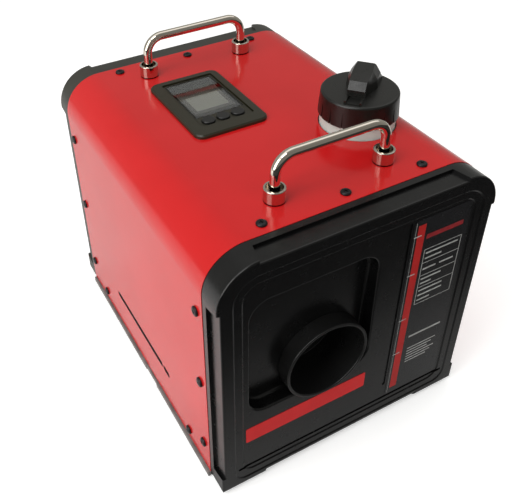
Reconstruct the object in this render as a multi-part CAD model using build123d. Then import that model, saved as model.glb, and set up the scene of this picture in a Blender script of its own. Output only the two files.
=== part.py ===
from build123d import *

import os
from math import cos, radians, sin

# Diesel air heater in a box: a bent steel casing between two moulded end panels, with the heater
# unit behind the round outlet, the fuel tank beside it and the controller on top.
# Millimetres. +Z is up, the warm air leaves towards -Y, and the origin is on the ground under the
# middle of the box.

# --- Casing: one sheet bent over the top and both sides
CASING_WIDTH = 250.0
CASING_LENGTH = 280.0
CASING_TOP = 254.0
CASING_RADIUS = 35.0
CASING_SHEET = 1.2
CASING_EDGE_Z = 8.0
SLOT_WIDTH = 2.4
LONG_SLOT_LENGTH = 104.0
LONG_SLOT_Y = 5.0
SHORT_SLOT_LENGTH = 9.0
SHORT_SLOT_Y = -57.0
SLOT_Z = 51.0

# --- Screws that hold the casing to the panels and the tray
SCREW_ROW_INSET = 10.0
TOP_SCREW_SIDE_GAP = 53.8
SIDE_SCREW_LOW_Z = 38.5
SIDE_SCREW_TOP_GAP = 57.9
LOW_SCREW_INSET = 40.0
LOW_SCREW_Z = 18.0
SCREW_RADIUS = 2.0
SCREW_LENGTH = 5.5
SCREW_HEAD_RADIUS = 4.2
SCREW_HEAD_HEIGHT = 2.2
SCREW_HEAD_EDGE = 0.9
SCREW_PLAY = 0.3

# --- End panels: black moulded housings, their rim stepped in between four full corners
PANEL_DEPTH = 22.0
PANEL_INSET = 0.4
PANEL_WALL = 4.0
FLANGE_RECESS = 2.6
RIM_EDGE_RADIUS = 1.6
FOOT_RADIUS = 8.0
TOE_RADIUS = 9.0
LIP_DEPTH = 5.8
CAVITY_CORNER_RADIUS = 2.0
BUMPER_LENGTH = 36.0
BUMPER_SLANT = 13.0
SIDE_BUMPER_DROP = 38.7
FOOT_LENGTH = 45.0
FOOT_HEIGHT = 21.6
STEP_DEPTH = 0.8
STEP_SLOPE = 1.4
STEP_CORNER_RADIUS = 12.0
OUTER_STEP_INSET = 9.4
INNER_STEP_INSET = 17.0
SPIGOT_DEPTH = 20.0
SPIGOT_WALL = 3.0
SPIGOT_PLAY = 0.2
FACE_GROOVE_WIDTH = 3.0
FACE_GROOVE_DEPTH = 0.9
LOW_GROOVE_Z = 26.0
LOW_GROOVE_MARGIN = 16.0
PLATE_GROOVE_X = 39.8
PLATE_GROOVE_LOW_Z = 44.0
PLATE_GROOVE_DROP = 24.0

# --- Pocket in the front panel, round the outlet
POCKET_SIDE_GAP = 27.0
POCKET_RIGHT_X = 14.5
POCKET_LOW_Z = 92.5
POCKET_DROP = 41.0
POCKET_RADIUS = 17.0
POCKET_DEPTH = 14.0
POCKET_WALL = 3.0
POCKET_EDGE_RADIUS = 1.8
POCKET_FLOOR_RADIUS = 3.0

# --- Outlet duct and the heater axis, which it shares
AXIS_X = -26.5
AXIS_Z = 116.5
DUCT_RADIUS = 38.5
DUCT_WALL = 2.8
DUCT_RIM_RADIUS = 1.0
DUCT_PLAY = 0.3
DUCT_COLLAR_LENGTH = 4.0
DUCT_COLLAR_WIDTH = 3.5
DUCT_SEAT = 1.0

# --- Heater jacket: two plastic halves round the heater
JACKET_WIDTH = 112.0
JACKET_HEIGHT = 116.0
JACKET_RADIUS = 26.0
JACKET_WALL = 2.5
JACKET_FRONT_GAP = 46.0
JACKET_LENGTH = 202.0
NOSE_LENGTH = 16.0
SPIGOT_LENGTH = 12.0
INLET_RADIUS = 45.0

# --- Heat exchanger: finned aluminium casting with the burner inside
EXCHANGER_RADIUS = 40.0
EXCHANGER_BORE = 34.0
EXCHANGER_GAP = 4.0
EXCHANGER_LENGTH = 112.0
EXCHANGER_DOME = 14.0
EXCHANGER_END_WALL = 6.0
EXCHANGER_FLANGE_RADIUS = 47.0
EXCHANGER_FLANGE = 6.0
FIN_COUNT = 22
FIN_TIP_RADIUS = 50.0
FIN_THICKNESS = 2.4
FIN_FRONT_GAP = 12.0
FIN_LENGTH = 74.0
FIN_SWEEP = 14.0
PORT_OFFSET_X = 17.5
PORT_BOSS_RADIUS = 15.0
EXHAUST_PORT_INSET = 20.0
PLUG_INSET = 14.0
PLUG_RADIUS = 4.0
PLUG_HEAD_RADIUS = 6.5
PLUG_HEAD_HEIGHT = 8.0
PLUG_BOSS_RADIUS = 9.0
PLUG_BOSS_TOP = 43.0
PLUG_TIP = 21.0
NIPPLE_INSET = 10.0
NIPPLE_DROP = 16.5
NIPPLE_REACH = 49.5

# --- Combustion chamber: steel tube with a flange and two rows of air holes
CHAMBER_RADIUS = 28.0
CHAMBER_WALL = 2.0
CHAMBER_LENGTH = 68.0
CHAMBER_FLANGE = 3.0
AIR_HOLE_RADIUS = 2.5
AIR_HOLE_COUNT = 8
AIR_HOLE_ROW_INSETS = (56.0, 40.0)

# --- Blower: one motor turns the combustion fan in front and the heating fan behind
FAN_HOUSING_LENGTH = 26.0
FAN_HOUSING_FLOOR = 12.0
WHEEL_RADIUS = 36.0
WHEEL_CHAMBER_PLAY = 2.5
WHEEL_DISC = 1.6
WHEEL_HEIGHT = 7.5
WHEEL_BLADES = 12
WHEEL_BLADE_THICKNESS = 1.4
WHEEL_BLADE_LEAN = 28.0
WHEEL_BLADE_START = 7.0
WHEEL_BLADE_REACH = 0.62
WHEEL_BACK_GAP = 1.6
MOTOR_RADIUS = 21.0
MOTOR_LENGTH = 36.0
MOTOR_EDGE = 2.0
SHAFT_RADIUS = 3.0
SHAFT_END_GAP = 0.6
BEARING_RADIUS = 8.0
BEARING_WIDTH = 6.0
BEARING_PLAY = 0.05
SHAFT_PLAY = 0.6
HUB_RADIUS = 9.0
FAN_RADIUS = 41.0
FAN_HUB_RADIUS = 19.0
FAN_LENGTH = 13.0
FAN_BLADES = 7
FAN_BLADE_THICKNESS = 1.6
FAN_BLADE_PITCH = 52.0
FAN_GAP = 4.0
GUARD_THICKNESS = 3.0
GUARD_BAR = 2.4
GUARD_SPOKES = 6
GUARD_RINGS = (14.0, 24.0, 34.0)
BOX_WIDTH = 50.0
BOX_LENGTH = 34.0
BOX_TOP = 38.0

# --- Under the heater: gasket, brackets, exhaust and combustion air pipes
GASKET_THICKNESS = 2.0
GASKET_WIDTH = 70.0
GASKET_LEAD = 44.0
GASKET_LENGTH = 90.0
BRACKET_SHEET = 2.0
BRACKET_FLANGE = 16.0
BRACKET_SPREAD = 70.0
STUD_RADIUS = 3.0
STUD_INSET = 8.0
NUT_ACROSS_FLATS = 10.0
NUT_HEIGHT = 5.0
PIPE_RADIUS = 11.5
PIPE_WALL = 1.0
STUB_RADIUS = 12.0
STUB_LENGTH = 14.6
PIPE_RUN_Z = 31.0
PIPE_BEND = 20.0
PIPE_PLAY = 0.5

# --- Base tray
TRAY_SHEET = 1.5
TRAY_BOTTOM_Z = 1.0
TRAY_WALL_TOP_Z = 27.0
TRAY_PLAY = 0.15
TRAY_BEND_RADIUS = 3.0

# --- Rear panel details
REAR_PORT_LEFT_X = -74.0
REAR_PORT_RIGHT_X = 21.0
REAR_PORT_LOW_Z = 12.0
REAR_PORT_TOP_Z = 52.0
REAR_PORT_RADIUS = 8.0
REAR_PORT_DEPTH = 16.0
GRILLE_RADIUS = 50.0
GRILLE_THICKNESS = 2.4
GRILLE_RING = 5.0
GRILLE_BAR = 3.0
GRILLE_BAR_PITCH = 9.0
GRILLE_PLAY = 0.2
GRILLE_SEAT = 3.0
GRILLE_SEAT_WIDTH = 4.0
INTAKE_DUCT_WALL = 2.0
SOCKET_X = 80.0
SOCKET_Z = 60.0
SOCKET_RADIUS = 12.0
SOCKET_FLANGE_RADIUS = 16.0
SOCKET_FLANGE = 1.6
SOCKET_LENGTH = 26.0
SOCKET_BORE = 9.0
SOCKET_BORE_DEPTH = 14.0
SOCKET_PIN_RADIUS = 2.0
SOCKET_PIN_SPACING = 8.0

# --- Handles: bent bars in round cups
HANDLE_CENTRES = 98.0
HANDLE_ROW_INSET = 29.0
HANDLE_RADIUS = 4.0
HANDLE_RISE = 40.6
HANDLE_BEND = 15.0
CUP_RADIUS = 8.5
CUP_HEIGHT = 11.5
CUP_WALL = 1.8
CUP_FLOOR = 2.0
CUP_EDGE = 0.8
HANDLE_SCREW_RADIUS = 2.0
HANDLE_SCREW_GRIP = 12.0
HANDLE_SCREW_HEAD_RADIUS = 4.0
HANDLE_SCREW_HEAD = 3.0
WASHER_RADIUS = 6.0
WASHER_THICKNESS = 1.0

# --- Controller on top of the casing
BEZEL_LEFT_X = -61.5
BEZEL_RIGHT_X = 6.5
BEZEL_FRONT_Y = -15.0
BEZEL_BACK_Y = 86.0
BEZEL_HEIGHT = 3.6
BEZEL_RADIUS = 8.0
BEZEL_EDGE = 1.2
FIELD_LEFT_X = -51.0
FIELD_RIGHT_X = -1.0
FIELD_FRONT_Y = -1.5
FIELD_BACK_Y = 79.5
FIELD_RADIUS = 2.0
FIELD_DEPTH = 1.2
FIELD_GROOVE_WIDTH = 1.0
FIELD_GROOVE_DEPTH = 0.8
WINDOW_FRONT_Y = 14.0
WINDOW_MARGIN = 2.0
WINDOW_THICKNESS = 1.2
WINDOW_LEDGE = 1.5
WINDOW_PLAY = 0.1
CUTOUT_OVERLAP = 6.0
CONTROL_DEPTH = 22.0
CONTROL_WALL = 2.0
CUTOUT_PLAY = 0.5
BOARD_THICKNESS = 1.6
BOARD_PLAY = 0.5
BOARD_DROP = 6.2
POST_RADIUS = 2.5
POST_INSET = 5.0
DISPLAY_LEFT_X = -46.5
DISPLAY_RIGHT_X = -7.0
DISPLAY_FRONT_Y = 21.0
DISPLAY_BACK_Y = 60.0
BUTTON_PITCH = 14.0
BUTTON_MIDDLE_X = -27.3
BUTTON_Y = 6.0
BUTTON_RADIUS = 5.8
BUTTON_PLAY = 0.3
BUTTON_PROUD = 2.0
BUTTON_DOME = 0.8
BUTTON_FLANGE_RADIUS = 6.9
BUTTON_FLANGE = 1.0
BUTTON_STEM_RADIUS = 2.5
BUTTON_STEM = 1.5
BUTTON_TRAVEL = 1.0
SWITCH_SIZE = 6.0
SWITCH_PLAY = 0.1

# --- Fuel tank, its neck through the casing and its screw cap
TANK_LEFT_X = 38.0
TANK_SIDE_GAP = 6.0
TANK_END_GAP = 15.0
TANK_DROP = 18.0
TANK_RADIUS = 12.0
TANK_WALL = 3.0
NECK_X = 68.0
NECK_Y = -53.0
NECK_COLLAR_RADIUS = 31.5
NECK_COLLAR_TOP = 9.6
NECK_HOLE_PLAY = 1.0
NECK_RADIUS = 27.0
NECK_BORE = 23.5
NECK_RISE = 25.0
SEAL_WIDTH = 4.0
SEAL_THICKNESS = 1.5
CAP_LOW_RADIUS = 33.3
CAP_TOP_RADIUS = 32.0
CAP_HEIGHT = 20.0
CAP_EDGE = 2.0
CAP_SKIRT_GAP = 0.4
CAP_PLAY = 0.4
CAP_RIB_COUNT = 18
CAP_RIB_WIDTH = 1.3
CAP_RIB_DEPTH = 0.9
GRIP_ANGLE = 40.0
GRIP_WIDTH = 14.0
GRIP_HEIGHT = 16.6
GRIP_FRONT = -28.0
GRIP_PRONG_TOP = 2.4
GRIP_SLOT_WIDTH = 10.6
GRIP_SLOT_FLOOR = 0.6
GRIP_SLOT_END = -18.4
GRIP_STEP = -17.2
GRIP_STEP_TOP = 6.8
GRIP_RAMP_HEAD = -11.5
GRIP_RAMP_TOP = 12.2
GRIP_REST_FRONT = 0.0
GRIP_REST_DROP = 2.3
GRIP_REST_BACK = 15.0
GRIP_REST_ROUND = 2.0
GRIP_HEEL = 18.0
GRIP_HEEL_TOP = 7.0
GRIP_BACK = 24.0
WING_FULL = 5.0
WING_FOOT_WIDTH = 26.4
WING_BEND = 8.0
WING_BEND_WIDTH = 24.0
STRAP_BACK_GAP = 78.0
STRAP_WIDTH = 20.0
STRAP_SHEET = 1.0
STRAP_FOOT = 12.0

# --- Fuel path: tank outlet, filter, pump and hoses
FUEL_FRONT_GAP = 44.0
FITTING_HEIGHT = 13.0
FITTING_RADIUS = 7.0
FITTING_FLANGE = 4.0
BARB_RADIUS = 2.0
BARB_LENGTH = 10.0
HOSE_RADIUS = 3.2
HOSE_BEND = 10.0
FILTER_RADIUS = 11.0
FILTER_LENGTH = 34.0
FILTER_RIGHT_X = -4.0
PUMP_SIDE_GAP = 20.0
PUMP_Z = 38.0
PUMP_RADIUS = 13.0
PUMP_FRONT_GAP = 64.0
PUMP_LENGTH = 46.0
PUMP_CAP_RADIUS = 9.0
PUMP_CAP_LENGTH = 5.0
PUMP_PLUG_HEIGHT = 10.0
SLEEVE_THICKNESS = 3.0
SLEEVE_WIDTH = 20.0
CLAMP_SHEET = 1.5
CLAMP_FOOT_LENGTH = 30.0
CLAMP_POST_WIDTH = 14.0

# Places that follow from the sizes above
HALF_WIDTH = CASING_WIDTH / 2
PANEL_BACK = CASING_LENGTH / 2
PANEL_FACE = PANEL_BACK + PANEL_DEPTH
SCREW_ROW_Y = PANEL_BACK - SCREW_ROW_INSET
TOP_SCREW_PITCH = HALF_WIDTH - TOP_SCREW_SIDE_GAP
SIDE_SCREW_PITCH = (CASING_TOP - SIDE_SCREW_TOP_GAP - SIDE_SCREW_LOW_Z) / 2
LOW_SCREW_Y = PANEL_BACK - LOW_SCREW_INSET
HANDLE_ROW_Y = PANEL_BACK - HANDLE_ROW_INSET
POCKET_LEFT_X = POCKET_SIDE_GAP - HALF_WIDTH
POCKET_TOP_Z = CASING_TOP - POCKET_DROP
CASING_INSIDE = CASING_WIDTH / 2 - CASING_SHEET
CEILING_Z = CASING_TOP - CASING_SHEET
TRAY_FLOOR_Z = TRAY_BOTTOM_Z + TRAY_SHEET
JACKET_LOW_Z = AXIS_Z - JACKET_HEIGHT / 2
JACKET_FRONT_Y = JACKET_FRONT_GAP - PANEL_BACK
JACKET_BACK_Y = JACKET_FRONT_Y + JACKET_LENGTH
EXCHANGER_FRONT_Y = JACKET_FRONT_Y + EXCHANGER_GAP
EXCHANGER_BACK_Y = EXCHANGER_FRONT_Y + EXCHANGER_LENGTH
EXHAUST_PORT_Y = EXCHANGER_BACK_Y - EXHAUST_PORT_INSET
PLUG_Y = EXCHANGER_BACK_Y - PLUG_INSET
NIPPLE_Y = EXCHANGER_BACK_Y - NIPPLE_INSET
NIPPLE_Z = AXIS_Z - NIPPLE_DROP
NIPPLE_TIP_X = AXIS_X - NIPPLE_REACH
GASKET_FRONT_Y = EXCHANGER_BACK_Y - GASKET_LEAD
GASKET_BACK_Y = GASKET_FRONT_Y + GASKET_LENGTH
GASKET_LOW_Z = JACKET_LOW_Z - GASKET_THICKNESS
FAN_HOUSING_FRONT_Y = EXCHANGER_BACK_Y + CHAMBER_FLANGE
FAN_HOUSING_BACK_Y = FAN_HOUSING_FRONT_Y + FAN_HOUSING_LENGTH
AIR_PORT_Y = (FAN_HOUSING_FRONT_Y + FAN_HOUSING_BACK_Y) / 2
MOTOR_BACK_Y = FAN_HOUSING_BACK_Y + MOTOR_LENGTH
FAN_FRONT_Y = MOTOR_BACK_Y + FAN_GAP
EXHAUST_X = AXIS_X - PORT_OFFSET_X
AIR_PIPE_X = AXIS_X + PORT_OFFSET_X
DUCT_BORE = DUCT_RADIUS - DUCT_WALL
CAP_LOW_Z = CASING_TOP + NECK_COLLAR_TOP + CAP_SKIRT_GAP
CAP_TOP_Z = CAP_LOW_Z + CAP_HEIGHT
NECK_TOP_Z = CASING_TOP + NECK_RISE
FIELD_Z = CASING_TOP + BEZEL_HEIGHT - FIELD_DEPTH
TANK_RIGHT_X = HALF_WIDTH - TANK_SIDE_GAP
TANK_TOP_Z = CASING_TOP - TANK_DROP
FUEL_Y = FUEL_FRONT_GAP - PANEL_BACK
FUEL_Z = TRAY_FLOOR_Z + FITTING_HEIGHT
PUMP_X = PUMP_SIDE_GAP - HALF_WIDTH
PUMP_FRONT_Y = PUMP_FRONT_GAP - PANEL_BACK


def end_outline(half_width, low, top, low_radius, top_radius):
    """Outline of the box seen from the front, with its own lower and upper corner radii."""
    outline = Pos(0, (low + top) / 2) * Rectangle(2 * half_width, top - low)
    if top_radius > 0:
        outline = fillet(outline.vertices().group_by(Axis.Y)[-1], top_radius)
    if low_radius > 0:
        outline = fillet(outline.vertices().group_by(Axis.Y)[0], low_radius)
    return outline


def along_y(outline, front, back):
    """Solid of a front outline between two places along Y."""
    return Pos(0, back, 0) * extrude(Plane.XZ * outline, back - front)


def rod_y(radius, x, z, front, back):
    """Cylinder along Y."""
    return Pos(x, (front + back) / 2, z) * Rot(90, 0, 0) * Cylinder(radius, back - front)


def rod_x(radius, y, z, left, right):
    """Cylinder along X."""
    return Pos((left + right) / 2, y, z) * Rot(0, 90, 0) * Cylinder(radius, right - left)


def rod_z(radius, x, y, low, top):
    """Upright cylinder."""
    return Pos(x, y, (low + top) / 2) * Cylinder(radius, top - low)


def block(left, right, front, back, low, top):
    """Box between two places along each axis."""
    size = (right - left, back - front, top - low)
    return Pos(left, front, low) * Box(*size, align=(Align.MIN, Align.MIN, Align.MIN))


def front_rectangle(left, right, low, top, radius):
    """Rounded rectangle in the front view."""
    shape = RectangleRounded(right - left, top - low, radius)
    return Pos((left + right) / 2, (low + top) / 2) * shape


def top_rectangle(left, right, front, back, radius, low, top):
    """Solid with a rounded rectangle seen from above."""
    shape = RectangleRounded(right - left, back - front, radius)
    return Pos((left + right) / 2, (front + back) / 2, low) * extrude(shape, top - low)


def hose(points, bend):
    """Hose whose bore is the barb that it is pushed on."""
    path = FilletPolyline(*points, radius=bend)
    section = Circle(HOSE_RADIUS) - Circle(BARB_RADIUS)
    return sweep(Plane(path @ 0, z_dir=path % 0) * section, path)


# --- Screw places, shared by the casing, the panels, the tray and the screws themselves

def top_screw_places():
    return [(column * TOP_SCREW_PITCH, row * SCREW_ROW_Y) for row in (-1, 1) for column in (-1, 0, 1)]


def side_screw_places():
    places = []
    for row in (-1, 1):
        for level in range(3):
            places.append((row * SCREW_ROW_Y, SIDE_SCREW_LOW_Z + level * SIDE_SCREW_PITCH))
    return places


def low_screw_places():
    return [(row * LOW_SCREW_Y, LOW_SCREW_Z) for row in (-1, 1)]


def handle_places(row):
    return [(side * HANDLE_CENTRES / 2, row * HANDLE_ROW_Y) for side in (-1, 1)]


def screw_holes(radius):
    """Every casing screw hole, as one group of cutting rods through the sheet and what it holds."""
    reach = SCREW_LENGTH + 2
    low_face = CASING_WIDTH / 2 - reach
    high_face = CASING_WIDTH / 2 + reach
    rods = [rod_z(radius, x, y, CASING_TOP - reach, CASING_TOP + reach) for x, y in top_screw_places()]
    for y, z in side_screw_places() + low_screw_places():
        rods.append(rod_x(radius, y, z, -high_face, -low_face))
        rods.append(rod_x(radius, y, z, low_face, high_face))
    return rods


def casing_screw():
    """Pan head screw with its head on the XY plane, pointing down."""
    head = Pos(0, 0, SCREW_HEAD_HEIGHT / 2) * Cylinder(SCREW_HEAD_RADIUS, SCREW_HEAD_HEIGHT)
    head = chamfer(head.edges().group_by(Axis.Z)[-1], SCREW_HEAD_EDGE)
    return head + rod_z(SCREW_RADIUS, 0, 0, -SCREW_LENGTH, 0)


def casing_screws_top():
    return Compound([Pos(x, y, CASING_TOP) * casing_screw() for x, y in top_screw_places()])


def casing_screws_side(side):
    """Screws of one side, -1 for the left and 1 for the right."""
    places = side_screw_places() + low_screw_places()
    turned = Rot(0, 90 * side, 0) * casing_screw()
    return Compound([Pos(side * CASING_WIDTH / 2, y, z) * turned for y, z in places])


# --- Casing and tray

def casing():
    half_length = CASING_LENGTH / 2
    sheet = along_y(
        end_outline(CASING_WIDTH / 2, CASING_EDGE_Z, CASING_TOP, 0, CASING_RADIUS),
        -half_length,
        half_length,
    )
    inside_radius = CASING_RADIUS - CASING_SHEET
    sheet -= along_y(
        end_outline(CASING_INSIDE, CASING_EDGE_Z - 1, CEILING_Z, 0, inside_radius),
        -half_length - 1,
        half_length + 1,
    )
    sheet -= screw_holes(SCREW_RADIUS + SCREW_PLAY)
    for row in (-1, 1):
        for x, y in handle_places(row):
            radius = HANDLE_SCREW_RADIUS + SCREW_PLAY
            sheet -= rod_z(radius, x, y, CEILING_Z - 1, CASING_TOP + 1)
    neck_hole = NECK_COLLAR_RADIUS + NECK_HOLE_PLAY
    sheet -= rod_z(neck_hole, NECK_X, NECK_Y, TANK_TOP_Z, CASING_TOP + 1)
    sheet -= controller_cutout(CEILING_Z - 1, CASING_TOP + 1)
    for length, y in ((LONG_SLOT_LENGTH, LONG_SLOT_Y), (SHORT_SLOT_LENGTH, SHORT_SLOT_Y)):
        slot = extrude(Plane.YZ * SlotOverall(length, SLOT_WIDTH), 2 * CASING_SHEET, both=True)
        sheet -= Pos(-CASING_WIDTH / 2, y, SLOT_Z) * slot
    return sheet


def base_tray():
    """Pan flush with the casing below its edge, its walls stepped in to stand inside the casing."""
    half_length = CASING_LENGTH / 2
    outer = HALF_WIDTH - PANEL_INSET
    inner = CASING_INSIDE - TRAY_PLAY
    step = CASING_EDGE_Z - TRAY_PLAY
    bend = TRAY_BEND_RADIUS
    outline = end_outline(outer, TRAY_BOTTOM_Z, step, bend, 0)
    outline += end_outline(inner, TRAY_BOTTOM_Z + bend, TRAY_WALL_TOP_Z, 0, 0)
    hollow = end_outline(outer - TRAY_SHEET, TRAY_FLOOR_Z, step - TRAY_SHEET, bend - TRAY_SHEET, 0)
    hollow += end_outline(inner - TRAY_SHEET, TRAY_FLOOR_Z + bend, TRAY_WALL_TOP_Z + 1, 0, 0)
    pan = along_y(outline, -half_length, half_length)
    pan -= along_y(hollow, -half_length - 1, half_length + 1)
    return pan - screw_holes(SCREW_RADIUS)


# --- End panels

def rim_outline(inset, low_radius):
    """Outline of the end panels, drawn in from their corners by an inset."""
    inward = PANEL_INSET + inset
    top_radius = CASING_RADIUS - inward
    return end_outline(HALF_WIDTH - inward, inset, CASING_TOP - inward, low_radius, top_radius)


def rim_block(inset):
    """Full depth of a panel inside an outline, its front edge rounded and its toe rounded more."""
    rim = along_y(rim_outline(inset, FOOT_RADIUS - inset), -PANEL_FACE, -PANEL_BACK)
    rim = fillet(rim.faces().sort_by(Axis.Y)[0].outer_wire().edges(), RIM_EDGE_RADIUS)
    profile = Pos(-PANEL_FACE / 2, (inset + CASING_TOP) / 2) * Rectangle(PANEL_FACE, CASING_TOP - inset)
    toe = profile.vertices().group_by(Axis.X)[0].sort_by(Axis.Y)[0]
    return rim & extrude(Plane.YZ * fillet(toe, TOE_RADIUS), CASING_WIDTH, both=True)


def corner_bumpers():
    """The four corners where the rim keeps its full size; the lower two are the feet."""
    full = rim_block(0)
    reach = CASING_WIDTH + CASING_TOP
    middle_y = -PANEL_BACK - PANEL_DEPTH / 2
    to_right = Box(reach, reach, 2 * reach, align=(Align.MIN, Align.CENTER, Align.CENTER))
    upward = Box(2 * reach, reach, reach, align=(Align.CENTER, Align.CENTER, Align.MIN))
    downward = Box(2 * reach, reach, reach, align=(Align.CENTER, Align.CENTER, Align.MAX))
    upper = full & (Pos(HALF_WIDTH - BUMPER_LENGTH, middle_y, 0) * Rot(0, 0, BUMPER_SLANT) * to_right)
    upper &= Pos(0, middle_y, CASING_TOP - SIDE_BUMPER_DROP) * Rot(-BUMPER_SLANT, 0, 0) * upward
    lower = full & (Pos(HALF_WIDTH - FOOT_LENGTH, middle_y, 0) * Rot(0, 0, BUMPER_SLANT) * to_right)
    lower &= Pos(0, middle_y, FOOT_HEIGHT) * Rot(-BUMPER_SLANT, 0, 0) * downward
    right = upper + lower
    return right + mirror(right, about=Plane.YZ)


def dish_step(inset, depth):
    """Shallow step in the face, its border sloped."""
    front = -PANEL_FACE + depth
    top = rim_outline(FLANGE_RECESS + inset, STEP_CORNER_RADIUS)
    floor = rim_outline(FLANGE_RECESS + inset + STEP_SLOPE, STEP_CORNER_RADIUS - STEP_SLOPE)
    slope = loft([Plane.XZ.offset(-front) * top, Plane.XZ.offset(-front - STEP_DEPTH) * floor], ruled=True)
    return slope + along_y(top, -PANEL_FACE - 1, front)


def panel_shell():
    """What both end panels share, in the place of the front one."""
    lip = along_y(rim_outline(0, FOOT_RADIUS), -PANEL_BACK - LIP_DEPTH, -PANEL_BACK)
    lip -= block(-CASING_WIDTH, CASING_WIDTH, -PANEL_FACE, 0, -1, FLANGE_RECESS)
    shell = lip + rim_block(FLANGE_RECESS) + corner_bumpers()
    shell -= dish_step(OUTER_STEP_INSET, 0)
    shell -= dish_step(INNER_STEP_INSET, STEP_DEPTH)
    cavity = rim_outline(FLANGE_RECESS + PANEL_WALL, CAVITY_CORNER_RADIUS)
    shell -= along_y(cavity, -PANEL_FACE + PANEL_WALL, -PANEL_BACK + 1)
    return (shell + panel_spigot()) - screw_holes(SCREW_RADIUS)


def panel_spigot():
    """Collar that stands inside the casing and takes its screws."""
    half_width = CASING_INSIDE - SPIGOT_PLAY
    top = CEILING_Z - SPIGOT_PLAY
    radius = CASING_RADIUS - CASING_SHEET - SPIGOT_PLAY
    front = -PANEL_BACK
    back = front + SPIGOT_DEPTH
    low = TRAY_WALL_TOP_Z + SPIGOT_PLAY
    collar = along_y(end_outline(half_width, low, top, 0, radius), front, back)
    inner = end_outline(half_width - SPIGOT_WALL, low - 1, top - SPIGOT_WALL, 0, radius - SPIGOT_WALL)
    return collar - along_y(inner, front - 1, back + 1)


def face_grooves():
    """Two straight grooves in the front face."""
    face = -PANEL_FACE + 2 * STEP_DEPTH
    low = Pos(0, LOW_GROOVE_Z) * SlotOverall(CASING_WIDTH - 2 * LOW_GROOVE_MARGIN, FACE_GROOVE_WIDTH)
    length = CASING_TOP - PLATE_GROOVE_DROP - PLATE_GROOVE_LOW_Z
    middle = PLATE_GROOVE_LOW_Z + length / 2
    upright = Pos(PLATE_GROOVE_X, middle) * Rot(0, 0, 90) * SlotOverall(length, FACE_GROOVE_WIDTH)
    return along_y(low + upright, -PANEL_FACE - 1, face + FACE_GROOVE_DEPTH)


def front_panel():
    """Front housing with the pocket and the bore for the outlet duct."""
    panel = panel_shell() - face_grooves()
    floor = -PANEL_FACE + POCKET_DEPTH
    field = -PANEL_FACE + 2 * STEP_DEPTH
    sides = (POCKET_LEFT_X, POCKET_RIGHT_X, POCKET_LOW_Z, POCKET_TOP_Z)
    left, right, low, top = sides
    wall = POCKET_WALL
    outer = front_rectangle(left - wall, right + wall, low - wall, top + wall, POCKET_RADIUS + wall)
    panel += along_y(outer, field, floor + wall)
    pocket = along_y(front_rectangle(*sides, POCKET_RADIUS), -PANEL_FACE - 1, floor)
    pocket = fillet(pocket.faces().sort_by(Axis.Y)[-1].edges(), POCKET_FLOOR_RADIUS)
    panel -= pocket
    rim = [edge for edge in panel.edges() if pocket_rim_edge(edge, field)]
    panel = fillet(rim, POCKET_EDGE_RADIUS)
    return panel - rod_y(DUCT_RADIUS + DUCT_PLAY, AXIS_X, AXIS_Z, -PANEL_FACE - 1, floor + wall + 1)


def pocket_rim_edge(edge, field):
    """True for the edges where the pocket opens in the front face."""
    box = edge.bounding_box()
    margin = 0.1
    flat = abs(box.min.Y - field) < margin and abs(box.max.Y - field) < margin
    across = POCKET_LEFT_X - margin < box.min.X and box.max.X < POCKET_RIGHT_X + margin
    upward = POCKET_LOW_Z - margin < box.min.Z and box.max.Z < POCKET_TOP_Z + margin
    return flat and across and upward


def rear_panel():
    """Rear housing with the round air inlet, the pipe recess and the power socket."""
    panel = panel_shell()
    floor = -PANEL_FACE + REAR_PORT_DEPTH
    field = -PANEL_FACE + 2 * STEP_DEPTH
    left, right = -REAR_PORT_RIGHT_X, -REAR_PORT_LEFT_X
    low, top = REAR_PORT_LOW_Z, REAR_PORT_TOP_Z
    wall = POCKET_WALL
    outer = front_rectangle(left - wall, right + wall, low - wall, top + wall, REAR_PORT_RADIUS + wall)
    panel += along_y(outer, field, floor + wall)
    recess = front_rectangle(left, right, low, top, REAR_PORT_RADIUS)
    panel -= along_y(recess, -PANEL_FACE - 1, floor)
    for x in (EXHAUST_X, AIR_PIPE_X):
        panel -= rod_y(STUB_RADIUS + PIPE_PLAY, -x, PIPE_RUN_Z, -PANEL_FACE, floor + wall + 1)
    seat = GRILLE_RADIUS + GRILLE_PLAY
    inside = -PANEL_FACE + PANEL_WALL
    panel += rod_y(seat + GRILLE_SEAT_WIDTH, -AXIS_X, AXIS_Z, inside, inside + GRILLE_SEAT)
    panel -= rod_y(seat, -AXIS_X, AXIS_Z, -PANEL_FACE - 1, field + GRILLE_THICKNESS)
    panel -= rod_y(GRILLE_RADIUS - GRILLE_RING, -AXIS_X, AXIS_Z, -PANEL_FACE - 1, -PANEL_BACK)
    panel -= rod_y(SOCKET_RADIUS, -SOCKET_X, SOCKET_Z, -PANEL_FACE - 1, -PANEL_BACK)
    return Rot(0, 0, 180) * panel


def rear_grille():
    """Round grille of upright bars, seated in the rear panel."""
    front = PANEL_FACE - 2 * STEP_DEPTH - GRILLE_THICKNESS
    back = front + GRILLE_THICKNESS
    ring = Circle(GRILLE_RADIUS) - Circle(GRILLE_RADIUS - GRILLE_RING)
    bars = Sketch()
    count = int((GRILLE_RADIUS - GRILLE_RING) // GRILLE_BAR_PITCH)
    for index in range(-count, count + 1):
        bars += Pos(index * GRILLE_BAR_PITCH, 0) * Rectangle(GRILLE_BAR, 2 * GRILLE_RADIUS)
    bars += Rectangle(2 * GRILLE_RADIUS, GRILLE_BAR)
    face = ring + (bars & Circle(GRILLE_RADIUS - GRILLE_RING / 2))
    return Pos(AXIS_X, 0, AXIS_Z) * along_y(face, front, back)


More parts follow.
